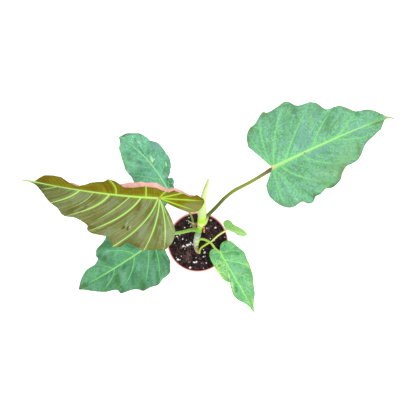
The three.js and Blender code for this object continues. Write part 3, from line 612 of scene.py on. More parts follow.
def blade_finish(name, tones, seed, marks=(), spots=(), nets=(), roughness=0.5, specular=0.16):
    """A leaf's face. Marks and nets lie under its veins, and spots over them."""
    f = Finish(name, roughness, specular)
    flat, lane = f.attribute("flat"), f.attribute("lane")
    rib, lateral, flank = f.parts(f.attribute("vein"))
    along, inside = f.parts(flat)[0], f.parts(lane)[2]
    grain, bold, drip = tones["grain"], tones["bold"], tones["drip"]
    streaks = f.noise(f.scaled(lane, (1, 0.05, 0)), 1.8, 3, seed)
    bands = f.noise(f.scaled(lane, (1, 0.12, 0)), 7, 3, seed + 1)
    cloud = f.noise(flat, 30, 2, seed + 2)
    patch = f.noise(flat, 11, 4, seed + 3, 0.65)
    mist = f.noise(flat, 17, 3, seed + 4, 0.6)
    speckle = f.noise(flat, 2.6, 3, seed + 5, 0.75)
    rough = f.noise(flat, 3, 3, seed + 6, 0.65)
    colour = f.wash(tones["dark"], tones["body"], cloud, 0.38, 0.62)
    # The painted_sheen wash lays painted sheen over the blade in soft patches.
    for key, *levels in (
        ("painted_sheen", mist, 0.42, 0.68, 0, bold),
        ("light", bands, 0.5, 0.7, 0, 0.6 * bold),
        ("light", patch, 0.48, 0.7, 0, bold),
        # fold: darker bands along the rows, painted shade of the folds between veins.
        ("fold", bands, 0.3, 0.5, 0.6 * bold, 0),
        ("flank", flank, 0.15, 0.85, 0, 0.7),
    ):
        colour = f.wash(colour, tones[key], *levels)
    colour = f.shaded(colour, streaks, 1 - 0.4 * grain, 1 + 0.4 * grain)
    colour = f.shaded(colour, speckle, 1 - 1.15 * grain, 1 + 1.15 * grain)
    dots = f.times(f.step(f.cells(flat, 5), 0.08, 0.18, 1, 0), f.step(mist, 0.45, 0.6, 0, 0.7))
    colour = f.blend(dots, colour, tones["vein"])
    rim = f.plus(inside, f.step(patch, 0.3, 0.7, -5, 9))
    colour = f.wash(colour, tones["edge"], rim, 0, 9, 0.6, 0)
    colour = f.shaded(colour, f.step(inside, 0, 1.2), 0.86, 1)
    colour = marked(f, colour, flat, marks, rough)
    for net in nets:
        colour = netted(f, colour, flat, net, rough)
    colour = f.wash(colour, tones["vein"], lateral, 0.16, 0.62, 0, 0.92)
    place = f.node("Math", {0: along, 1: tones["length"]}, operation="DIVIDE")
    spine = f.times(f.step(rib, 0.2, 0.6), f.step(place, 0.5, 0.9, 1, tones["fade"]))
    colour = f.blend(spine, colour, tones["rib"])
    colour = marked(f, colour, flat, spots, rough)
    colour = f.wash(colour, tones["tip"], place, drip, drip + 0.04)
    f.set("Roughness", f.step(mist, 0.3, 0.7, roughness + 0.08, roughness - 0.08))
    return f.painted(colour, f.plus(f.times(streaks, 0.6), f.times(speckle, 0.5)), 0.16)


def petiole_finish(name, tones, seed):
    f = Finish(name, 0.45, 0.25)
    run, share = f.attribute("run"), f.attribute("share")
    colour = f.ramp(f.parts(share)[0], tones)
    streak = f.noise(f.scaled(run, (0.06, 1, 0)), 0.9, 3, seed)
    colour = f.shaded(colour, streak, 0.88, 1.1)
    fleck = f.noise(f.scaled(run, (0.4, 1, 0)), 1.1, 2, seed + 1)
    colour = f.shaded(colour, f.step(fleck, 0.55, 0.8), 1.02, 0.9)
    return f.painted(colour, streak, 0.12)


def stem_finish():
    f = Finish("stem_skin", 0.45, 0.25)
    run = f.attribute("run")
    share, _, ring = f.parts(f.attribute("share"))
    colour = f.ramp(share, [
        (0.1, (150, 120, 96)), (0.15, (212, 196, 170)), (0.3, (216, 212, 188)),
        (0.42, (216, 228, 204)), (0.53, (196, 216, 190)), (0.59, (132, 180, 140)),
        (0.63, (150, 190, 120)), (0.66, (150, 205, 64)), (0.71, (124, 212, 40)),
        (0.765, (178, 234, 64)), (0.79, (238, 252, 170)), (0.86, (228, 252, 120)),
        (0.885, (184, 246, 30)), (0.95, (190, 250, 36)), (1, (222, 252, 110)),
    ])
    streak = f.noise(f.scaled(run, (0.12, 1, 0)), 1.3, 3, 31)
    colour = f.shaded(colour, streak, 0.86, 1.12)
    old = f.step(share, 0.3, 0.46, 1, 0)
    scar = f.times(f.step(f.noise(run, 2.6, 3, 32), 0.5, 0.62), f.plus(old, 0.15))
    colour = f.blend(scar, colour, (128, 100, 78))
    patchy = f.step(f.noise(run, 2, 2, 33), 0.35, 0.65, 0.5, 1)
    colour = f.blend(f.times(f.step(ring, 0.25, 0.7), patchy), colour, (154, 100, 72))
    f.set("Roughness", f.step(share, 0.4, 0.8, 0.7, 0.38))
    return f.painted(colour, f.plus(streak, f.times(f.noise(run, 1.2, 3, 34), 0.6)), 0.22)


def sheath_finish():
    f = Finish("sheath_skin", 0.4, 0.25)
    run, share = f.attribute("run"), f.attribute("share")
    colour = f.ramp(f.parts(share)[0], [
        (0, (222, 246, 150)), (0.06, (206, 234, 150)), (0.14, (220, 242, 158)),
        (0.45, (228, 248, 160)), (0.8, (228, 250, 158)), (1, (206, 234, 140)),
    ])
    fine = f.noise(f.scaled(run, (0.03, 1, 0)), 0.7, 3, 41)
    broad = f.noise(f.scaled(run, (0.02, 1, 0)), 3.2, 2, 42)
    # The greyer streaks are painted shade down the rolled sheath.
    colour = f.wash(colour, (186, 216, 156), broad, 0.52, 0.66, 0, 0.75)
    colour = f.wash(colour, (240, 252, 200), broad, 0.34, 0.46, 0.7, 0)
    colour = f.shaded(colour, fine, 0.9, 1.1)
    return f.painted(colour, fine, 0.16)


def growth_finish(name, tone, dark, seed):
    f = Finish(name, 0.6)
    run = f.attribute("run")
    colour = f.wash(tone, dark, f.noise(run, 1.6, 3, seed), 0.4, 0.65)
    return f.painted(colour, f.noise(run, 0.8, 3, seed + 1), 0.25)


def plastic_finish():
    f = Finish("pot_plastic", 0.42)
    place = f.position()
    height = f.parts(place)[2]
    colour = f.wash((236, 138, 128), (242, 148, 138), f.noise(place, 30, 3, 51), 0.3, 0.7)
    colour = f.wash(colour, (255, 184, 182), height, 64, 78)
    blotches = f.noise(place, 5, 5, 52, 0.7)
    # Darker, redder blotches towards the pot's foot.
    low = f.times(f.step(height, 0, 26, 0.5, 0.04), f.step(blotches, 0.45, 0.7))
    colour = f.blend(low, colour, (144, 72, 62))
    lip = f.times(f.step(height, 78.5, 81.6, 0, 0.8), f.step(blotches, 0.2, 0.5, 0.6, 1))
    colour = f.blend(lip, colour, (255, 148, 144))
    scuff = f.noise(f.scaled(place, (1, 1, 0.12)), 1.2, 3, 53)
    colour = f.lit(f.shaded(colour, scuff, 0.96, 1.04), PLASTIC_LIFT)
    f.set("Roughness", f.step(scuff, 0.3, 0.7, 0.38, 0.5))
    return f.painted(colour, f.noise(place, 0.8, 2, 54), 0.05)


def soil_finish():
    f = Finish("bark_mix", 0.92, 0.15)
    place = f.position()
    colour = f.wash((38, 27, 31), (90, 64, 67), f.noise(place, 5, 4, 61, 0.7), 0.35, 0.65)
    grit = f.noise(place, 1.1, 3, 62, 0.7)
    colour = f.shaded(colour, grit, 0.55, 1.5)
    colour = f.wash(colour, (128, 100, 96), f.noise(place, 1.6, 2, 63), 0.66, 0.74, 0, 0.8)
    return f.painted(colour, f.plus(grit, f.noise(place, 2.4, 3, 64)), 0.9)


def bark_finish():
    f = Finish("bark_bits", 0.85, 0.15)
    colour = f.ramp(f.attribute("tone", "Fac"), [
        (0, (30, 22, 26)), (0.4, (58, 42, 46)), (0.7, (92, 64, 66)), (0.9, (112, 80, 78)),
        (1, (146, 112, 104)),
    ])
    grain = f.noise(f.scaled(f.position(), (1, 0.3, 1)), 1, 4, 71, 0.7)
    return f.painted(f.shaded(colour, grain, 0.6, 1.4), grain, 0.5)


def perlite_finish():
    f = Finish("perlite_grains", 0.85)
    dust = f.noise(f.position(), 1.2, 4, 81, 0.7)
    colour = f.wash((252, 252, 255), (196, 194, 198), dust, 0.5, 0.75, 0, 0.45)
    return f.painted(f.lit(colour, PERLITE_LIFT), dust, 0.4)


def fibre_finish():
    f = Finish("fibre_strands", 0.8)
    strand = f.noise(f.scaled(f.attribute("run"), (0.2, 1, 0)), 1, 2, 91)
    f.set("Base Color", f.blend(strand, (120, 92, 76), (176, 146, 120)))
    return f.material


# Blade surface
def midrib_frames(leaf):
    """Points and directions along the midrib, at MIDRIB_STEPS + 1 stations."""
    def directions(u):
        drip = leaf["drip_swing"] * smooth((u - DRIP_START) / (1 - DRIP_START))
        heading = np.radians(leaf["heading"] + leaf["swing"] * u + drip)
        pitch = np.radians(leaf["pitch"] + leaf["droop"] * u**1.5)
        roll = math.radians(leaf["roll"])
        level = vector(-np.sin(heading), np.cos(heading), 0)
        ahead = vector(np.cos(heading), np.sin(heading), 0)
        along = ahead * np.cos(pitch)[..., None] + vector(0, 0, np.sin(pitch))
        upright = np.cross(along, level)
        left = level * math.cos(roll) + upright * math.sin(roll)
        face = upright * math.cos(roll) - level * math.sin(roll)
        return along, left, face

    stations = np.arange(MIDRIB_STEPS + 1) / MIDRIB_STEPS
    step = leaf["length"] / MIDRIB_STEPS
    middle, _, _ = directions(stations[:-1] + 0.5 / MIDRIB_STEPS)
    points = np.concatenate([np.zeros((1, 3)), np.cumsum(middle * step, 0)]) + leaf["base"]
    return (points, *directions(stations))


def on_midrib(leaf, along):
    """Point and directions at a distance along the midrib, in millimetres."""
    place = np.clip(along / leaf["length"], 0, 1) * MIDRIB_STEPS
    k = np.minimum(np.floor(place).astype(int), MIDRIB_STEPS - 1)
    f = (place - k)[..., None]
    point, ahead, left, face = (mix(row[k], row[k + 1], f) for row in leaf["frames"])
    ahead, left, face = unit(ahead), unit(left), unit(face)
    return point + ahead * np.minimum(along, 0)[..., None], ahead, left, face


def soft_slope(half, place, outward):
    """The slope angle at a place of a soft half."""
    rise = half.get("rise", SOFT_RISE)
    places = np.array([place for place, _ in rise])
    table = np.array([angles for _, angles in rise], float)
    k = np.clip(np.searchsorted(places, place) - 1, 0, len(places) - 2)
    f = smooth((place - places[k]) / (places[k + 1] - places[k]))[..., None]
    angles = mix(table[k], table[k + 1], f)
    x = np.clip(np.abs(outward) / half["reach"], 0, 1) * (table.shape[1] - 1)
    k = np.minimum(np.floor(x).astype(int), table.shape[1] - 2)
    near = np.take_along_axis(angles, k[..., None], -1)[..., 0]
    far = np.take_along_axis(angles, k[..., None] + 1, -1)[..., 0]
    return np.radians(mix(near, far, smooth(x - k)))


def fold_lines(half, place):
    """How far out the half folds down and flares out again."""
    places, folds, flares = np.array(half["folds"], float).T
    return np.interp(place, places, folds), np.interp(place, places, flares)


def folded_slope(half, place, outward):
    """The slope angle at a place of a folded half."""
    fold, flare = fold_lines(half, place)
    angle = FOLD_LEAN * smooth(outward / LEAN_WIDTH)
    angle = angle + (FOLD_HANG - FOLD_LEAN) * smooth((outward - fold) / FOLD_WIDTH + 0.5)
    return np.radians(angle - (FOLD_HANG - FOLD_SPLAY) * smooth((outward - flare) / FLARE_WIDTH + 0.5))


def row_course(half, i):
    """Where row i leaves the midrib, as a share of it, and how far the row bows."""
    last = len(half["edge"]) - 1
    known = [(0, 0, half.get("sinus_bow", 0)), *(vein[:3] for vein in half["veins"]), (last, 1, 0)]
    rows, starts, bows = np.array(known, float).T
    return np.interp(i, rows, starts), np.interp(i, rows, bows)


def flat_place(leaf, half, sign, i, t):
    """Where a row's point lies on the flat blade, as along and out."""
    edge = through(half["edge"], i)
    start, bow = row_course(half, i)
    start = start * leaf["length"]
    run = edge[..., 0] - start
    size = np.hypot(run, edge[..., 1])
    along = start + run * t - 4 * bow * size * t * (1 - t)
    return along, edge[..., 1] * sign * t


def blade_surface(leaf, half, sign, i, t):
    """The middle surface at row i and fraction t, with its flat place."""
    along, out = flat_place(leaf, half, sign, i, t)
    place, outward = along / leaf["length"], out * sign
    slope = folded_slope if "folds" in half else soft_slope
    across, up = 0 * outward, 0 * outward
    for k in range(SLOPE_STEPS):
        angle = slope(half, place, (k + 0.5) / SLOPE_STEPS * outward)
        across = across + np.cos(angle) * outward / SLOPE_STEPS
        up = up + np.sin(angle) * outward / SLOPE_STEPS
    point, _, left, face = on_midrib(leaf, along)
    return point + left * (across * sign)[..., None] + face * up[..., None], along, out


def swelling(leaf, half, i, t):
    """How far the blade swells between its veins and ruffles at its margin."""
    last = len(half["edge"]) - 1
    veins = np.array([0, *(vein[0] for vein in half["veins"]), last], float)
    k = np.clip(np.searchsorted(veins, i, "right") - 1, 0, len(veins) - 2)
    phase = (i - veins[k]) / np.maximum(veins[k + 1] - veins[k], 1e-6)
    dome = np.sin(np.pi * np.clip(phase, 0, 1)) ** 1.2
    room = np.minimum((veins[k + 1] - veins[k]) / 2, 1)
    quilt = leaf["quilt"] * dome * room * smooth(t * 2.2) * (1 - 0.45 * t)
    ends = smooth(i / 1.5) * smooth((last - i) / 2)
    wave = np.sin(2 * np.pi * phase + 0.9 * k) * room + 0.5 * np.sin(1.7 * i + 2)
    return quilt + leaf["ruffle"] * wave * ends * smooth((t - 0.45) / 0.55) ** 1.5


def row_numbers(half):
    """Rows of the fine mesh: even steps, and closer ones beside each vein."""
    last = len(half["edge"]) - 1
    kept = [0.0, float(last)]
    for row, *_ in half["veins"]:
        kept += [row + shift for shift in ROWS_BESIDE_VEIN]
    for i in np.arange(ROW_STEP, last, ROW_STEP):
        if min(abs(i - other) for other in kept[2:]) > 0.4 * ROW_STEP + ROW_CLEARANCE:
            kept.append(float(i))
    return np.array(sorted(i for i in set(kept) if 0 <= i <= last))


def vein_masks(leaf, along, out):
    """How strongly each point belongs to the midrib, a side vein or the flank of either."""
    rib_width, vein_width = leaf["vein_width"]
    share = np.clip(along / leaf["length"], 0, 1)
    width = mix(rib_width, RIB_END_WIDTH, share**RIB_TAPER)
    away = np.hypot(out, np.maximum(-along, 0) * 1.4)
    rib, flank = bell(away, width), bell(away, FLANK_SPREAD * width)
    lateral = np.zeros_like(rib)
    t = np.linspace(0, 1, VEIN_POINTS)
    for key, sign in SIDES:
        for row, _, _, firmness in leaf[key]["veins"]:
            x, y = flat_place(leaf, leaf[key], sign, np.full_like(t, row), t)
            for k in range(VEIN_POINTS - 1):
                step = np.array([x[k + 1] - x[k], y[k + 1] - y[k]])
                length = max(step @ step, 1e-9)
                f = np.clip(((along - x[k]) * step[0] + (out - y[k]) * step[1]) / length, 0, 1)
                away = np.hypot(along - x[k] - f * step[0], out - y[k] - f * step[1])
                place = mix(t[k], t[k + 1], f)
                wide = vein_width * mix(1, 0.5, place)
                strength = firmness * (1 - leaf["vein_fade"] * smooth((place - 0.7) / 0.3))
                np.maximum(lateral, bell(away, wide) * strength, out=lateral)
                np.maximum(flank, bell(away, FLANK_SPREAD * wide) * strength, out=flank)
    return rib, lateral, flank


def surface_normal(point, sign):
    across = np.cross(np.gradient(point, axis=0), np.gradient(point, axis=1))
    return unit(across * sign)


def half_sheet(leaf, half, sign):
    """One half's middle surface as rows of points, with their normals and attributes."""
    t = (np.arange(leaf["columns"] + 1) / leaf["columns"]) ** COLUMN_CROWDING
    i, across = np.meshgrid(row_numbers(half), t, indexing="ij")
    point, along, out = blade_surface(leaf, half, sign, i, across)
    point = point + surface_normal(point, sign) * swelling(leaf, half, i, across)[..., None]
    flange = crest = 0
    if "folds" in half:
        fold, flare = fold_lines(half, along / leaf["length"])
        flange = smooth((out * sign - flare + 2) / 4)
        crest = smooth((out * sign - fold + 7) / 9)
    lane = reached_along(point[:, -1])[:, None]
    inside = np.linalg.norm(point - point[:, -1:], axis=-1)
    return {
        "point": point, "normal": surface_normal(point, sign),
        "flat": vector(along, out, sign),
        "lane": vector(lane, np.abs(out), inside),
        "flange": vector(flange, crest, 0 * out),
        "places": np.round(along[:, 0], 2),
    }


def stitched(grid, places, number, tip):
    """The faces of a half from the midrib's points to the grid's outermost column."""
    rows, columns = grid.shape
    faces = []
    for r in range(rows):
        low, high = number[places[r]], number[places[r + 1]]
        faces += [(grid[r, 0], k, k + 1) for k in range(low, high)]
        if r == rows - 1:
            faces += [(grid[r, c], tip, grid[r, c + 1]) for c in range(columns - 1)]
        else:
            faces.append((grid[r, 0], high, grid[r + 1, 0]))
            for c in range(columns - 1):
                faces.append((grid[r, c], grid[r + 1, c], grid[r + 1, c + 1], grid[r, c + 1]))
    return faces


def make_blade(leaf, seed):
    """Two alike sheets on the middle surface, closed by a wall round the margin."""
    halves = [half_sheet(leaf, leaf[key], sign) for key, sign in SIDES]
    length = round(float(leaf["length"]), 2)
    places = np.unique(np.concatenate([half["places"] for half in halves] + [[0.0, length]]))
    number = {place: k for k, place in enumerate(places)}
    tip = number[length]
    rib_point, _, _, rib_face = on_midrib(leaf, places)
    sheet = {
        "point": [rib_point], "normal": [rib_face], "flat": [vector(places, 0, 0)],
        "lane": [vector(places, 0, RIB_DEPTH_INSIDE)], "flange": [np.zeros((len(places), 3))],
    }
    columns = leaf["columns"]
    count = len(places)
    faces, margins = [], []
    for half, (_, sign) in zip(halves, SIDES):
        used = len(half["places"]) - 1
        grid = count + np.arange(used * columns).reshape(used, columns)
        count += grid.size
        for key, blocks in sheet.items():
            blocks.append(half[key][:used, 1:].reshape(-1, 3))
        for corners in stitched(grid, half["places"], number, tip):
            faces.append(corners[::-1] if sign < 0 else corners)
        margins.append([*grid[0], *grid[1:, -1]])
    points, normals, flat, lane, flange = (np.concatenate(blocks) for blocks in sheet.values())
    rib, lateral, flank = vein_masks(leaf, flat[:, 0], flat[:, 1])

    crinkle = 0.16 * ripple(lane[:, 0], lane[:, 1] / 3, 3, seed)
    crinkle = (crinkle + 0.22 * ripple(flat[:, 0], flat[:, 1], 9, seed)) * smooth(lane[:, 1] / 6)
    thick = BLADE_THICKNESS / 2 * mix(1, MARGIN_THINNING, 1 - smooth(lane[:, 2] / 3))
    front = thick - VEIN_GROOVE * lateral - RIB_GROOVE * rib + crinkle
    back = thick + VEIN_RIDGE * lateral + RIB_RIDGE * rib - crinkle
    both = np.concatenate([points + normals * front[:, None], points - normals * back[:, None]])
    loop = [number[0.0], *margins[0], tip, *margins[1][::-1]]
    shift = len(points)
    skin = [tuple(int(v) for v in corners) for corners in faces]
    skin += [tuple(int(v) + shift for v in corners[::-1]) for corners in faces]
    wall = []
    for a, b in zip(loop, [*loop[1:], loop[0]]):
        wall.append((int(a), int(a) + shift, int(b) + shift, int(b)))
    attributes = {"flat": flat, "lane": lane, "vein": vector(rib, lateral, flank), "flange": flange}
    attributes = {key: np.concatenate([values, values]) for key, values in attributes.items()}
    slots = [0] * len(faces) + [1] * len(faces) + [0] * len(wall)
    piece = put_mesh(f"{leaf['name']}_fine", both, skin + wall, leaf["finish"], attributes, slots)
    dress(piece, leaf["slot"], leaf["name"])


# Tubes
def curve(line):
    """Fine points along (x, y, z, radius) points, and how far along each one lies."""
    fine = through(line, np.linspace(0, len(line) - 1, CURVE_POINTS))
    return fine, reached_along(fine[:, :3])


def tube(line, grid, shape=None, caps=(0.4, 0.4)):
    """Points, faces and attributes of a closed tube along (x, y, z, radius) points."""
    sides, rings = grid
    fine, reached = curve(line)
    at = np.linspace(0, reached[-1], rings + 1)
    centre = np.stack([np.interp(at, reached, fine[:, k]) for k in range(4)], -1)
    ahead = unit(np.gradient(centre[:, :3], axis=0))
    normal = np.zeros_like(ahead)
    normal[0] = unit(np.cross(ahead[0], (0.3, 0.2, 1) if abs(ahead[0][2]) < 0.9 else (1, 0, 0)))
    for k in range(1, rings + 1):
        normal[k] = unit(normal[k - 1] - ahead[k] * (normal[k - 1] @ ahead[k]))
    binormal = np.cross(ahead, normal)
    turn = 2 * np.pi * np.arange(sides) / sides
    u, angle = np.meshgrid(at / reached[-1], turn, indexing="ij")
    radius, reached = centre[:, 3:4] + 0 * angle, at[:, None] + 0 * angle
    if shape is not None:
        radius = shape(u, angle, radius, reached)
    points = (
        centre[:, None, :3]
        + normal[:, None] * (radius * np.cos(angle))[..., None]
        + binormal[:, None] * (radius * np.sin(angle))[..., None]
    ).reshape(-1, 3)
    run = vector(reached, radius * angle, 0).reshape(-1, 3)
    share = vector(u, angle / (2 * np.pi), 0).reshape(-1, 3)
    total = len(points)
    points = np.concatenate([points, [
        centre[0, :3] - ahead[0] * caps[0] * centre[0, 3],
        centre[-1, :3] + ahead[-1] * caps[1] * centre[-1, 3],
    ]])
    run = np.concatenate([run, [(0, 0, 0), (at[-1], 0, 0)]])
    share = np.concatenate([share, [(0, 0, 0), (1, 0, 0)]])
    faces = []
    for ring in range(rings):
        for side in range(sides):
            a = ring * sides + side
            b = ring * sides + (side + 1) % sides
            faces.append((a, b, b + sides, a + sides))
    for side in range(sides):
        other = (side + 1) % sides
        faces.append((total, other, side))
        faces.append((total + 1, rings * sides + side, rings * sides + other))
    return points, faces, {"run": run, "share": share}


def make_petiole(leaf, seed):
    """A round petiole with a swollen foot, ending in a knuckle under the blade."""
    start_radius, end_radius = leaf["petiole"]["radius"]
    place, _, _, face = (value[0] for value in on_midrib(leaf, np.array([PETIOLE_END])))
    under = -1 if face[2] > 0 else 1
    end = place + face * under * (end_radius + PETIOLE_GAP)
    line = [*leaf["petiole"]["line"], tuple(end)]
    last = len(line) - 1
    line = [(*p[:3], mix(start_radius, end_radius, k / last)) for k, p in enumerate(line)]

    def shape(u, angle, radius, reached):
        left = reached.max() - reached
        foot = 0.35 * np.exp(-reached / (2.2 * start_radius))
        knuckle = 0.22 * bell(left - 3.2 * end_radius, 2.2 * end_radius)
        fold = 0.03 * np.sin(reached * 2.4) * smooth(1 - left / (6 * end_radius))
        uneven = 0.03 * ripple(reached, angle * 3, 9, seed)
        return radius * (1 + foot + knuckle + fold + uneven)

    name = f"petiole_{leaf['name'][5:]}"
    finish = petiole_finish(f"{name}_skin", leaf["petiole"]["tones"], seed)
    add_piece(f"{name}_fine", tube(line, PETIOLE_GRID, shape), finish, "petiole", name)


def make_stem():
    fine, reached = curve(STEM_LINE)
    rings = [(np.interp(z, fine[:, 2], reached), stands, width) for z, stands, width in STEM_RINGS]

    def shape(u, angle, radius, reached):
        ring = sum(
            stands * bell(reached + 0.4 * np.sin(angle) - place, width)
            for place, stands, width in rings
        )
        furrow = 0.12 * np.sin(9 * angle + 3 * ripple(reached, 0 * angle, 14, 3))
        uneven = 0.18 * ripple(reached, angle * 4, 5, 4)
        return radius + ring + furrow * smooth((0.6 - u) / 0.1) + uneven

    skin = tube(STEM_LINE, STEM_GRID, shape)
    run, share = skin[2]["run"], skin[2]["share"]
    strength = sum(bell(run[:, 0] - place, 0.8 * width) for place, _, width in rings)
    share[:, 2] = np.clip(strength, 0, 1)
    add_piece("stem_fine", skin, stem_finish(), "stem", "stem")
    for seed, (name, tone, dark, line) in enumerate(GROWTHS):
        def knobbly(u, angle, radius, reached, seed=seed):
            return radius * (1 + 0.14 * ripple(reached, angle * 1.5, 1.6, seed + 20))

        finish = growth_finish(f"{name}_skin", tone, dark, GROWTH_SEED + seed)
        add_piece(name, tube(line, GROWTH_GRID, knobbly, (0.5, 0.7)), finish, "stem")


def make_sheath():
    """A rolled sheath whose outer edge laps over itself down one side."""
    def shape(u, angle, radius, reached):
        lap = SHEATH_LAP * (((angle - 2.4) % (2 * np.pi)) / (2 * np.pi) - 0.5)
        keels = sum(SHEATH_KEEL * bell(angle - place, KEEL_WIDTH) for place in KEEL_ANGLES)
        ribs = SHEATH_RIB * np.sin(angle * RIBS_ROUND)
        foot = 0.06 * np.exp(-reached / 2)
        return radius * (1 + lap + keels + ribs + foot)

    skin = tube(SHEATH_LINE, SHEATH_GRID, shape, (0.2, 0.4))
    add_piece("sheath_fine", skin, sheath_finish(), "sheath", "sheath")


# Pot
def circle(radius, height, sides):
    turn = 2 * np.pi * np.arange(sides) / sides
    return vector(radius * np.cos(turn), radius * np.sin(turn), height)


def stacked(first, rings, last):
    """A closed solid whose skin runs up from a height on the axis, over rings, to another."""
    sides = len(rings[0])
    points = np.concatenate([[(0, 0, first)], *rings, [(0, 0, last)]])
    end = len(points) - 1
    faces = []
    for k in range(sides):
        other = (k + 1) % sides
        faces.append((0, 1 + other, 1 + k))
        for low in range(1, end - sides, sides):
            high = low + sides
            faces.append((low + k, low + other, high + other, high + k))
        faces.append((end - sides + k, end - sides + other, end))
    return points, faces


def rounded(profile, radius, steps=4):
    """The profile with each inner corner turned into a small arc."""
    points = [profile[0]]
    for before, corner, after in zip(profile, profile[1:], profile[2:]):
        before, corner, after = (np.array(p, float) for p in (before, corner, after))
        reach = min(radius, 0.45 * np.linalg.norm(before - corner), 0.45 * np.linalg.norm(after - corner))
        a = corner + unit(before - corner) * reach
        b = corner + unit(after - corner) * reach
        for f in np.linspace(0, 1, steps + 1):
            points.append(tuple(a * (1 - f) ** 2 + corner * 2 * f * (1 - f) + b * f**2))
    return [*points, profile[-1]]


def cut_holes(piece):
    """The drain holes, cut through the pot's floor."""
    drills = bmesh.new()
    for k in range(DRAIN_HOLE_COUNT):
        angle = 2 * math.pi * (k + 0.5) / DRAIN_HOLE_COUNT
        drill = bmesh.ops.create_cone(
            drills, cap_ends=True, segments=48, radius1=DRAIN_HOLE_RADIUS * MM,
            radius2=DRAIN_HOLE_RADIUS * MM, depth=DRILL_DEPTH * MM,
        )
        place = (DRAIN_HOLE_CIRCLE * math.cos(angle) * MM, DRAIN_HOLE_CIRCLE * math.sin(angle) * MM, 0)
        bmesh.ops.translate(drills, vec=place, verts=drill["verts"])
    mesh = bpy.data.meshes.new("hole_cutter")
    drills.to_mesh(mesh)
    drills.free()
    cutter = bpy.data.objects.new("hole_cutter", mesh)
    bpy.context.scene.collection.objects.link(cutter)
    modifier = piece.modifiers.new("holes", "BOOLEAN")
    modifier.operation = "DIFFERENCE"
    modifier.solver = "EXACT"
    modifier.object = cutter
    bpy.context.view_layer.update()
    evaluated = piece.evaluated_get(bpy.context.evaluated_depsgraph_get())
    cut = bpy.data.meshes.new_from_object(evaluated)
    piece.modifiers.clear()
    piece.data = cut
    bpy.data.objects.remove(cutter)
    piece.data.set_sharp_from_angle(angle=math.radians(SHARP_ANGLE))


def make_pot():
    profile = rounded([
        (0, 0), (POT_BASE_RADIUS, 0), (POT_WALL_RADIUS, WALL_TOP), (LIP_RADIUS - 1, WALL_TOP + 0.8),
        (LIP_RADIUS, POT_HEIGHT), (LIP_INNER_RADIUS, POT_HEIGHT), (LIP_INNER_RADIUS - 0.6, WALL_TOP + 1.5),
        (POT_WALL_RADIUS - POT_WALL, WALL_TOP - 0.5), (INNER_BASE_RADIUS, POT_FLOOR), (0, POT_FLOOR),
    ], POT_ROUNDING)
    rings = [circle(radius, height, POT_SIDES) for radius, height in profile[1:-1]]
    piece = put_mesh("pot_fine", *stacked(0, rings, POT_FLOOR), [plastic_finish()])
    cut_holes(piece)
    dress(piece, "pot_plastic", "pot")


# Soil
def soil_height(x, y):
    out = np.hypot(x, y) / LIP_INNER_RADIUS
    lumps = np.sin(0.31 * x + 1.2) * np.cos(0.27 * y - 0.4) + 0.6 * np.sin(0.55 * x - 0.62 * y)
    return SOIL_EDGE_HEIGHT + SOIL_MOUND * (1 - out**2) + SOIL_LUMP * lumps * (1 - out**6)


def rough_height(x, y):
    grain = 0.9 * ripple(x, y, 4.5, 1) + 0.55 * ripple(x, y, 2, 2) + 0.3 * ripple(x, y, 0.9, 3)
    return soil_height(x, y) + grain - 0.5


def on_soil(x, y, lift):
    return x, y, float(soil_height(x, y)) + lift


def make_plug():
    """The soil's body, with a rough top that runs down inside the pot's wall."""
    rings = []
    for k in range(1, SOIL_RINGS + 1):
        ring = circle((LIP_INNER_RADIUS - 0.7) * (k / SOIL_RINGS) ** 0.75, 0, SOIL_SIDES)
        ring[:, 2] = rough_height(ring[:, 0], ring[:, 1])
        rings.append(ring)
    for radius, height in (
        (LIP_INNER_RADIUS - 1, WALL_TOP + 1.8), (POT_WALL_RADIUS - POT_WALL - 0.4, WALL_TOP - 0.8),
        (INNER_BASE_RADIUS - 0.4, POT_FLOOR + 2), (INNER_BASE_RADIUS - 1.8, POT_FLOOR + 0.3),
    ):
        rings.append(circle(radius, height, SOIL_SIDES))
    points, faces = stacked(rough_height(0, 0), rings, POT_FLOOR + 0.3)
    # The skin runs down here, so each face is turned about its first corner
    faces = [(face[0], *face[:0:-1]) for face in faces]
    add_piece("soil_fine", (points, faces), soil_finish(), "bark_mix", "soil")


def lump(random, centre, radii, tilt, roughness, subdivisions):
    """A rough grain: an icosphere squeezed, chipped and turned."""
    ball = bmesh.new()
    bmesh.ops.create_icosphere(ball, subdivisions=subdivisions, radius=1)
    points = np.array([v.co for v in ball.verts])
    faces = [tuple(v.index for v in face.verts) for face in ball.faces]
    ball.free()
    for _ in range(FLATS_PER_GRAIN):
        axis = unit(random.normal(size=3))
        reach = random.uniform(0.55, 0.9)
        over = np.maximum(points @ axis - reach, 0)
        points = points - over[:, None] * axis
    points = points * (1 + roughness * random.normal(size=(len(points), 1)))
    points = points * radii
    turn, lean = random.uniform(0, 2 * np.pi), random.uniform(-tilt, tilt)
    c, s = math.cos(lean), math.sin(lean)
    points = points @ np.array([(1, 0, 0), (0, c, -s), (0, s, c)]).T
    c, s = math.cos(turn), math.sin(turn)
    points = points @ np.array([(c, -s, 0), (s, c, 0), (0, 0, 1)]).T
    return points + centre, faces


def gather(parts):
    """One mesh from several (points, faces), with each part's number."""
    points, faces, numbers = [], [], []
    count = 0
    for k, (part_points, part_faces) in enumerate(parts):
        points.append(part_points)
        faces += [tuple(v + count for v in face) for face in part_faces]
        numbers.append(np.full(len(part_points), k))
        count += len(part_points)
    return np.concatenate(points), faces, np.concatenate(numbers)


def scattered(random, reach):
    radius, angle = reach * math.sqrt(random.uniform()), random.uniform(0, 2 * np.pi)
    return radius * math.cos(angle), radius * math.sin(angle)


def near_stem(x, y, reach):
    return math.hypot(x - STEM_FOOT[0], y - STEM_FOOT[1]) <= reach


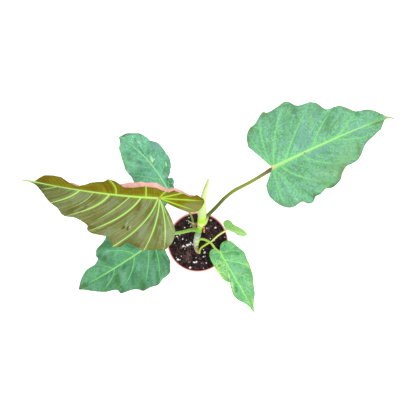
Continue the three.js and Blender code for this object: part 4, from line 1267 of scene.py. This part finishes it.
def make_bark(random):
    """Loose bark and crumbs, and the flakes of the broad chip."""
    bark, tones = [], []
    while len(bark) < BARK_COUNT + FINE_COUNT:
        small = len(bark) >= BARK_COUNT
        x, y = scattered(random, BARK_REACH)
        size = random.uniform(0.7, 1.5) if small else 1 + 3 * random.uniform() ** 1.8
        if near_stem(x, y, 5 + size) or math.hypot(x, y) + size > BARK_LIMIT:
            continue
        radii = size * np.array([1, random.uniform(0.35, 0.8), random.uniform(0.25, 0.5)])
        bark.append(lump(random, on_soil(x, y, random.uniform(-0.2, 0.5)), radii, 0.7, 0.05, 2))
        tones.append(random.uniform() ** 1.6)
    for _ in range(CHIP_FLAKES):
        x, y = scattered(random, 1)
        x, y = BROAD_CHIP[0] + CHIP_REACH[0] * x, BROAD_CHIP[1] + CHIP_REACH[1] * y
        radii = random.uniform(1.6, 3.8) * np.array([1, random.uniform(0.5, 0.9), 0.3])
        bark.append(lump(random, on_soil(x, y, random.uniform(0, 0.9)), radii, 0.35, 0.07, 2))
        tones.append(random.uniform(0.8, 1))
    points, faces, numbers = gather(bark)
    tone = np.array(tones)[numbers]
    add_piece("bark_bits", (points, faces, {"tone": tone}), bark_finish(), "bark_mix")


def make_perlite(random):
    """The grains that show in their places, and a few loose ones."""
    grains = []
    for x, y, radius in SEEN_PERLITE:
        radii = PERLITE_SWELL * radius * GRAIN_SHAPE
        grains.append(lump(random, on_soil(x, y, 0.55 * radius), radii, 0.8, 0.05, 3))
    while len(grains) < len(SEEN_PERLITE) + LOOSE_PERLITE:
        x, y = scattered(random, PERLITE_REACH)
        radius = random.uniform(0.5, 1.1)
        if not near_stem(x, y, 7):
            grains.append(lump(random, on_soil(x, y, 0.4 * radius), radius * GRAIN_SHAPE, 0.8, 0.05, 3))
    add_piece("perlite", gather(grains)[:2], perlite_finish(), "bark_mix")


def make_fibres(random):
    """Thin curled strands that lie on the soil."""
    fibres, runs = [], []
    while len(fibres) < FIBRE_COUNT:
        x, y = scattered(random, FIBRE_REACH)
        if near_stem(x, y, 10):
            continue
        turn = random.uniform(0, 2 * np.pi)
        length, curl = random.uniform(6, 15), random.uniform(-0.6, 0.6)
        line = []
        for share in np.linspace(0, 1, FIBRE_POINTS):
            part = (share - 0.5) * length
            heading = turn + curl * share
            px, py = x + part * math.cos(heading), y + part * math.sin(heading)
            line.append((*on_soil(px, py, random.uniform(0.2, 1.3)), FIBRE_RADIUS))
        points, faces, attributes = tube(line, FIBRE_GRID)
        fibres.append((points, faces))
        runs.append(attributes["run"])
    points, faces, _ = gather(fibres)
    run = np.concatenate(runs)
    add_piece("fibres", (points, faces, {"run": run}), fibre_finish(), "bark_mix")


# Leaf finishes
# Leaf tones: painted_sheen tints the painted sheen patches, and fold is painted shade in the folds.
GREEN = {
    "dark": (114, 183, 134), "body": (129, 202, 156), "light": (145, 226, 150),
    "painted_sheen": (140, 202, 178), "fold": (106, 170, 122), "flank": (134, 222, 142),
    "vein": (150, 232, 150), "rib": (184, 252, 158), "edge": (116, 162, 98),
    "tip": (214, 214, 168), "drip": 0.93, "grain": 0.32, "bold": 0.5, "fade": 0.9,
}


def under_finish(name, seed, length):
    """The paler underside of a green leaf."""
    return blade_finish(name, {
        **GREEN, "dark": (120, 160, 110), "body": (138, 178, 122), "light": (152, 190, 132),
        "painted_sheen": (150, 186, 140), "fold": (122, 162, 104), "flank": (148, 192, 120),
        "vein": (170, 215, 130), "rib": (184, 230, 130), "edge": (130, 165, 105),
        "grain": 0.16, "bold": 0.6, "length": length,
    }, seed, roughness=0.55, specular=0.12)


def folded_finish(name):
    """The olive underside of the folded leaf. Its flared pink margin is the maroon underside painted pale
    pink as a painted highlight, and the half is darkened as painted shade where it folds down over its
    crest.
    """
    f = Finish(name, 0.5, 0.06)
    flat, lane = f.attribute("flat"), f.attribute("lane")
    along, _, side = f.parts(flat)
    rib, lateral, flank = f.parts(f.attribute("vein"))
    flange, crest, _ = f.parts(f.attribute("flange"))
    streaks = f.noise(f.scaled(lane, (1, 0.025, 0)), 1.7, 3, 201)
    bands = f.noise(f.scaled(lane, (1, 0.05, 0)), 4.2, 3, 202, 0.6)
    mist = f.noise(flat, 15, 4, 207, 0.6)
    rough = f.noise(flat, 3, 3, 208, 0.65)
    speckle = f.noise(flat, 2.2, 3, 205, 0.7)
    far_side = f.step(side, -0.2, 0.2)
    near = f.wash((125, 131, 67), (145, 152, 97), f.noise(flat, 28, 3, 203), 0.38, 0.62)
    near = f.wash(near, (144, 164, 120), mist, 0.46, 0.68, 0, 0.7)
    near = f.wash(near, (108, 118, 62), along, 90, 185, 0, 0.75)
    near = f.wash(near, (118, 108, 42), bands, 0.48, 0.7, 0, 0.7)
    near = f.wash(near, (152, 168, 114), bands, 0.3, 0.5, 0.4, 0)
    rim = f.plus(f.parts(lane)[2], f.step(mist, 0.35, 0.65, -4, 6))
    near = f.wash(near, (130, 132, 56), rim, 0, 9, 0.55, 0)
    far = f.wash((132, 118, 9), (152, 150, 24), f.noise(flat, 22, 3, 204), 0.35, 0.65)
    far = f.wash(far, (120, 104, 10), along, 120, 185, 0, 0.6)
    # Painted shade: darker brown where the half turns down over its crest.
    far = f.blend(f.times(crest, 0.7), far, (112, 90, 8))
    colour = f.blend(far_side, near, far)
    colour = f.wash(colour, (150, 172, 60), flank, 0.2, 0.9, 0, 0.4)
    colour = f.shaded(colour, streaks, 0.68, 1.32)
    colour = f.shaded(colour, speckle, 0.84, 1.16)
    colour = marked(f, colour, flat, FOLDED_MARKS, rough)
    # Painted highlight: the flared margin is the maroon underside painted pale pink as if lit, and its
    # veins are painted pale and lit as well.
    pink = f.wash((255, 190, 183), (255, 204, 192), f.noise(flat, 12, 3, 206), 0.35, 0.65)
    pink = f.lit(f.wash(pink, (255, 222, 176), bands, 0.56, 0.7, 0, 0.6), PINK_HIGHLIGHT_LIFT)
    flange = f.step(flange, 0.35, 0.65)
    colour = f.blend(flange, colour, pink)
    vein = f.blend(far_side, (194, 252, 130), (190, 238, 66))
    vein = f.blend(flange, vein, (255, 244, 178))
    colour = f.wash(colour, vein, lateral, 0.14, 0.55)
    spine = f.wash((202, 252, 116), (190, 238, 130), along, 60, 170)
    colour = f.wash(colour, spine, rib, 0.2, 0.6)
    colour = marked(f, colour, flat, [(0, 0, 3, 2.6, 0, (226, 160, 124), 0.9, 0.2)], rough)
    colour = f.wash(colour, (206, 218, 160), along, 196, 206)
    return f.painted(colour, f.plus(f.times(streaks, 0.8), f.times(speckle, 0.4)), 0.16)


# Marks on the blades: (along, out, half length, half width, turn, tone, strength, raggedness)
BROWN = (114, 102, 42)
BLUISH = (142, 162, 122)
DEEP = (80, 146, 100)
# OLIVE blots are partly the margins' own olive and partly painted shade of ruffles. TEAL blots are painted
# sheen.
OLIVE = (112, 146, 78)
TEAL = (134, 192, 178)
FOLDED_MARKS = [
    (-18, -50, 15, 26, 8, (168, 184, 130), 0.8, 0.6), (-45, -13, 20, 9, -20, (146, 150, 92), 0.8, 0.4),
    (112, -10, 16, 5, -35, BLUISH, 0.5, 0.5), (70, -58, 14, 6, -50, BLUISH, 0.5, 0.5),
    (22, -50, 8, 14, 10, (148, 168, 124), 0.6, 0.5), (69, -14, 14, 5, -55, BLUISH, 0.4, 0.6),
    (180, -7, 12, 6, 0, (92, 104, 58), 0.8, 0.5), (123, -30, 14, 4, -50, (104, 100, 44), 0.8, 0.5),
    (29, -14, 12, 4, -72, BROWN, 0.8, 0.6), (107, -27, 12, 3, -52, BROWN, 0.7, 0.6),
    (31, -71, 14, 3.5, 5, BROWN, 0.8, 0.6), (92, -51, 13, 3.5, 15, BROWN, 0.7, 0.6),
    (48, -46, 3.4, 1.8, -60, (84, 88, 20), 0.95, 0.5), (41, -46.5, 4, 2, -75, (84, 88, 20), 0.9, 0.5),
    (44, -41, 4, 0.9, -62, (196, 214, 150), 0.8, 0.4), (39, -45, 3, 1, -60, (206, 222, 166), 0.85, 0.4),
]
FRONTS = {
    # Its TEAL blots are painted sheen, and its dark green and OLIVE blots by the margins and lobes are
    # painted shade of ruffles and folds, over the margins' own olive.
    "leaf_upper_right": (dict(drip=0.885), [
        (100, -38, 40, 14, 25, (154, 208, 140), 0.45, 0.8),
        (60, -42, 28, 15, 0, (148, 206, 144), 0.35, 0.8), (62, 20, 26, 12, 60, TEAL, 0.6, 0.7),
        (74, -7, 22, 7, 0, TEAL, 0.6, 0.7), (153, 0, 22, 8, 0, TEAL, 0.6, 0.7),
        (109, 27, 18, 6, 58, (104, 158, 112), 0.65, 0.7), (131, 24, 12, 4, 50, (100, 150, 108), 0.5, 0.7),
        (73, 66, 14, 5, 70, (98, 150, 106), 0.7, 0.6), (31, 82, 9, 4, 20, OLIVE, 0.6, 0.6),
        (0, 68, 8, 4, 60, OLIVE, 0.6, 0.6), (68, 80, 12, 2.6, -5, OLIVE, 0.6, 0.6),
        (131, -31, 16, 4, 58, OLIVE, 0.65, 0.7), (88, -52, 16, 4.5, 40, OLIVE, 0.65, 0.7),
        (66, -65, 10, 3, 0, (96, 134, 72), 0.8, 0.6), (38, -67, 10, 3.5, 0, (84, 138, 92), 0.8, 0.6),
        (187, -3, 12, 6, 0, OLIVE, 0.7, 0.6), (29, -34, 8, 2.5, -55, (110, 152, 100), 0.45, 0.6),
        (62, -59, 14, 4, 10, (128, 206, 108), 0.7, 0.6), (63, 68, 9, 3.5, 60, (142, 226, 142), 0.6, 0.6),
        (88, 41, 10, 3, 60, (150, 214, 126), 0.6, 0.6),
    ]),
    "leaf_folded": (dict(dark=(96, 150, 110), body=(110, 170, 124)), []),
    "leaf_upper_left": (dict(
        dark=(104, 178, 136), body=(127, 207, 163), light=(142, 232, 170), painted_sheen=(154, 220, 200),
        rib=(188, 255, 198), vein=(156, 234, 174), tip=(104, 150, 90), drip=0.96, fade=0.5,
    ), [
        (112, 24, 28, 6, -18, (138, 222, 160), 0.7, 0.7), (142, -10, 9, 3, 37, (92, 128, 78), 0.7, 0.5),
        (146, -5, 5, 2.2, 20, (100, 140, 70), 0.8, 0.4), (88, 28, 18, 3.8, 8, (146, 226, 160), 0.75, 0.6),
        (81, -27, 13, 8, 0, TEAL, 0.8, 0.6), (78, 13, 7, 4, 20, DEEP, 0.7, 0.6),
        (122, -11.4, 10, 1.2, -13, (92, 148, 100), 0.8, 0.7), (94, -3.7, 13, 1.6, -10, DEEP, 0.8, 0.6),
        (128, -13, 4, 1.2, -20, (184, 255, 200), 1, 0.35),
        (111, -11.6, 5, 1.4, -10, (184, 255, 200), 1, 0.35),
        (119, -3.8, 4, 1.1, -20, (178, 246, 190), 0.8, 0.4),
        (124, -5, 4, 1.1, 30, (178, 246, 190), 0.8, 0.4), (80, 24.4, 9, 1.4, 8, (160, 238, 160), 0.8, 0.5),
        (14, -8, 10, 6, 10, (66, 136, 100), 0.85, 0.5), (46, -20.5, 9, 3.6, -24, (84, 148, 116), 0.8, 0.4),
        (45.4, -20.2, 6, 2, -24, (178, 250, 180), 1, 0.2), (62.2, -5.6, 4, 2, -20, DEEP, 0.7, 0.4),
        (69, -6.5, 6.8, 2.3, -19, (206, 255, 200), 1, 0.15),
        (65.2, -8.2, 1.5, 3.2, 0, (206, 255, 204), 1, 0.25),
        (64.6, -5.4, 2.4, 1.8, -19, (246, 255, 196), 1, 0.15),
    ]),
    # Its dark green blots are painted shade in the folds and hollows between veins, and its pale teal
    # blots are painted sheen.
    "leaf_lower_left": (dict(
        dark=(84, 148, 102), body=(102, 172, 120), light=(118, 200, 134), painted_sheen=(134, 190, 166),
        fold=(72, 134, 82), flank=(104, 192, 116), vein=(144, 226, 148), edge=(92, 144, 88),
        tip=(84, 136, 78), fade=0.35, grain=0.24, bold=0.45,
    ), [
        (91, 18, 19, 7, 86, (80, 138, 82), 0.65, 0.6), (87, 24, 18, 4.8, 83, (66, 126, 60), 0.85, 0.75),
        (28.6, 51.3, 14, 3, 62, (66, 124, 66), 0.75, 0.65), (3, 33, 13, 3, 92, (66, 124, 64), 0.65, 0.7),
        (42, 55, 9, 3, 70, (66, 128, 80), 0.6, 0.5), (56, 50, 8, 5, 60, (68, 128, 62), 0.75, 0.75),
        (66, 37, 8, 3, 70, (66, 128, 76), 0.6, 0.5), (90, -22, 9, 4.5, 75, (84, 136, 74), 0.85, 0.5),
        (94, -22.6, 5, 4, 0, (66, 128, 70), 0.6, 0.5), (151, -1, 13, 4.5, 0, (72, 114, 58), 0.85, 0.45),
        (68, 8, 8, 3.5, 20, (66, 128, 78), 0.7, 0.5), (97.7, -33.5, 6, 3, 0, (66, 128, 80), 0.7, 0.5),
        (76, 21, 10, 4, 80, (130, 190, 160), 0.6, 0.6), (47, 23, 10, 5, 60, (132, 206, 166), 0.65, 0.7),
        (67, -21, 9, 4, 30, (134, 208, 172), 0.6, 0.7), (84, -30, 9, 4, 0, (140, 200, 174), 0.6, 0.6),
        (27, 62, 10, 4, 20, (112, 204, 136), 0.7, 0.5), (31, 42, 12, 5, 60, (126, 190, 156), 0.6, 0.6),
        (70.7, 17.7, 2.6, 0.8, -20, (196, 226, 150), 0.75, 0.3),
        (16.6, 27.3, 3, 0.8, 70, (156, 224, 160), 0.6, 0.3),
    ]),
    "leaf_lower_right": (dict(
        dark=(110, 188, 124), body=(124, 206, 136), light=(152, 232, 132), painted_sheen=(156, 216, 168),
        fold=(100, 178, 100), flank=(148, 234, 124), vein=(178, 252, 156), rib=(184, 255, 162),
        edge=(128, 204, 96), tip=(190, 226, 130), drip=0.95,
    ), [
        (30, -17.6, 15, 2.4, 4, (170, 252, 90), 0.9, 0.55), (31.4, -7.2, 3, 2, 0, (82, 148, 92), 0.9, 0.4),
        (24.8, -7, 3, 2, 0, (82, 148, 92), 0.9, 0.4), (42, -6.8, 6, 1.2, -17, (216, 255, 176), 0.9, 0.45),
        (57, -9.8, 6, 2, -20, (200, 248, 140), 0.85, 0.5),
        (66, -13.5, 6, 1.6, -6, (188, 240, 124), 0.7, 0.6),
        (67.3, -7.7, 8, 2.6, -15, (84, 150, 86), 0.9, 0.5),
        (45.6, -11.6, 3, 1.6, 0, (84, 150, 86), 0.7, 0.5), (19, 25, 3, 2.4, 0, (92, 162, 98), 0.8, 0.5),
        (31, 10, 3, 2.4, 0, (92, 162, 98), 0.8, 0.5), (43, 29, 8, 2.4, 10, (178, 236, 116), 0.8, 0.5),
        (70.5, 15.5, 7, 1.2, 19, (186, 242, 132), 0.8, 0.5),
        (36, 7, 15, 4.4, 0, (138, 214, 172), 0.65, 0.6), (92, 5, 6, 4, 0, (122, 196, 96), 0.6, 0.6),
        (99, 6, 6, 1.2, -20, (190, 236, 130), 0.8, 0.5), (99, -1.6, 6, 1, 0, (190, 236, 130), 0.7, 0.5),
    ]),
    "leaf_small": (dict(
        dark=(150, 211, 116), body=(168, 227, 129), light=(182, 236, 139), painted_sheen=(178, 230, 150),
        fold=(150, 208, 112), flank=(176, 234, 126), vein=(184, 238, 144), rib=(190, 240, 146),
        edge=(156, 212, 116), tip=(176, 228, 136), grain=0.18, bold=0.3,
    ), []),
}
NETS = {
    "leaf_lower_right": [(27, -12, 19, 9, 0, (196, 255, 146))],
    "leaf_upper_left": [(10, -9, 10, 5, 0, (152, 240, 164))],
}
SPOTS = {
    "leaf_upper_right": [
        (1.5, 0, 4.2, 3.2, 0, (236, 230, 156), 0.95, 0.3), (54, -1, 2, 1.5, 0, (170, 144, 104), 0.85, 0.2),
    ],
    "leaf_lower_right": [(0, 0, 2.6, 2, 0, (230, 236, 130), 0.9, 0.3)],
}


def make_leaves():
    for k, leaf in enumerate(LEAVES):
        name, length = leaf["name"], leaf["length"]
        leaf["frames"] = midrib_frames(leaf)
        changes, marks = FRONTS[name]
        tones = {**GREEN, **changes, "length": length}
        spots, nets = SPOTS.get(name, ()), NETS.get(name, ())
        front = blade_finish(f"{name}_front", tones, FRONT_SEED + k, marks, spots, nets)
        if name == "leaf_folded":
            back, leaf["slot"] = folded_finish(f"{name}_back"), "blade_olive"
        else:
            back, leaf["slot"] = under_finish(f"{name}_back", BACK_SEED + k, length), "blade_green"
        leaf["finish"] = [front, back]
        make_blade(leaf, BLADE_SEED + k)
        make_petiole(leaf, PETIOLE_SEED + k)


# Studio
def make_studio():
    f = Finish("floor_paper", 0.9, 0.0)
    tone = f.blend(f.noise(f.position(), 40, 3, 5), (255, 255, 255), (253, 253, 253))
    f.set("Base Color", f.lit(tone, FLOOR_PAINT / PAINT_LEVEL))
    f.set("Emission Color", (1, 1, 1, 1))
    f.set("Emission Strength", FLOOR_GLOW)
    corners = [(x * FLOOR_REACH, y * FLOOR_REACH, 0) for x, y in ((-1, -1), (1, -1), (1, 1), (-1, 1))]
    floor = put_mesh("floor", corners, [(0, 1, 2, 3)], [f.material])

    scene = bpy.context.scene
    scene.world = bpy.data.worlds.new("studio")
    scene.world.use_nodes = True
    sky = scene.world.node_tree.nodes["Background"]
    sky.inputs["Color"].default_value = (1, 1, 1, 1)
    sky.inputs["Strength"].default_value = SKY_STRENGTH

    key = bpy.data.lights.new("key", "SUN")
    key.energy = KEY_STRENGTH
    key.angle = math.radians(KEY_SOFTNESS)
    lamp = bpy.data.objects.new("key", key)
    lamp.rotation_euler = [math.radians(a) for a in KEY_TURN]
    scene.collection.objects.link(lamp)

    lens = bpy.data.cameras.new("camera")
    lens.sensor_fit = "HORIZONTAL"
    lens.sensor_width = SENSOR_WIDTH
    lens.lens = SENSOR_WIDTH / 2 / math.tan(math.radians(FIELD_OF_VIEW / 2))
    camera = bpy.data.objects.new("camera", lens)
    camera.location = CAMERA_PLACE
    camera.rotation_euler = (math.radians(90 - CAMERA_ELEVATION), 0, 0)
    scene.collection.objects.link(camera)
    scene.camera = camera
    scene.view_settings.view_transform = "Standard"
    scene.view_settings.look = "None"


make_pot()
make_plug()
loose = np.random.default_rng(SOIL_SEED)
make_bark(loose)
make_perlite(loose)
make_fibres(loose)
make_stem()
make_sheath()
make_leaves()
make_studio()
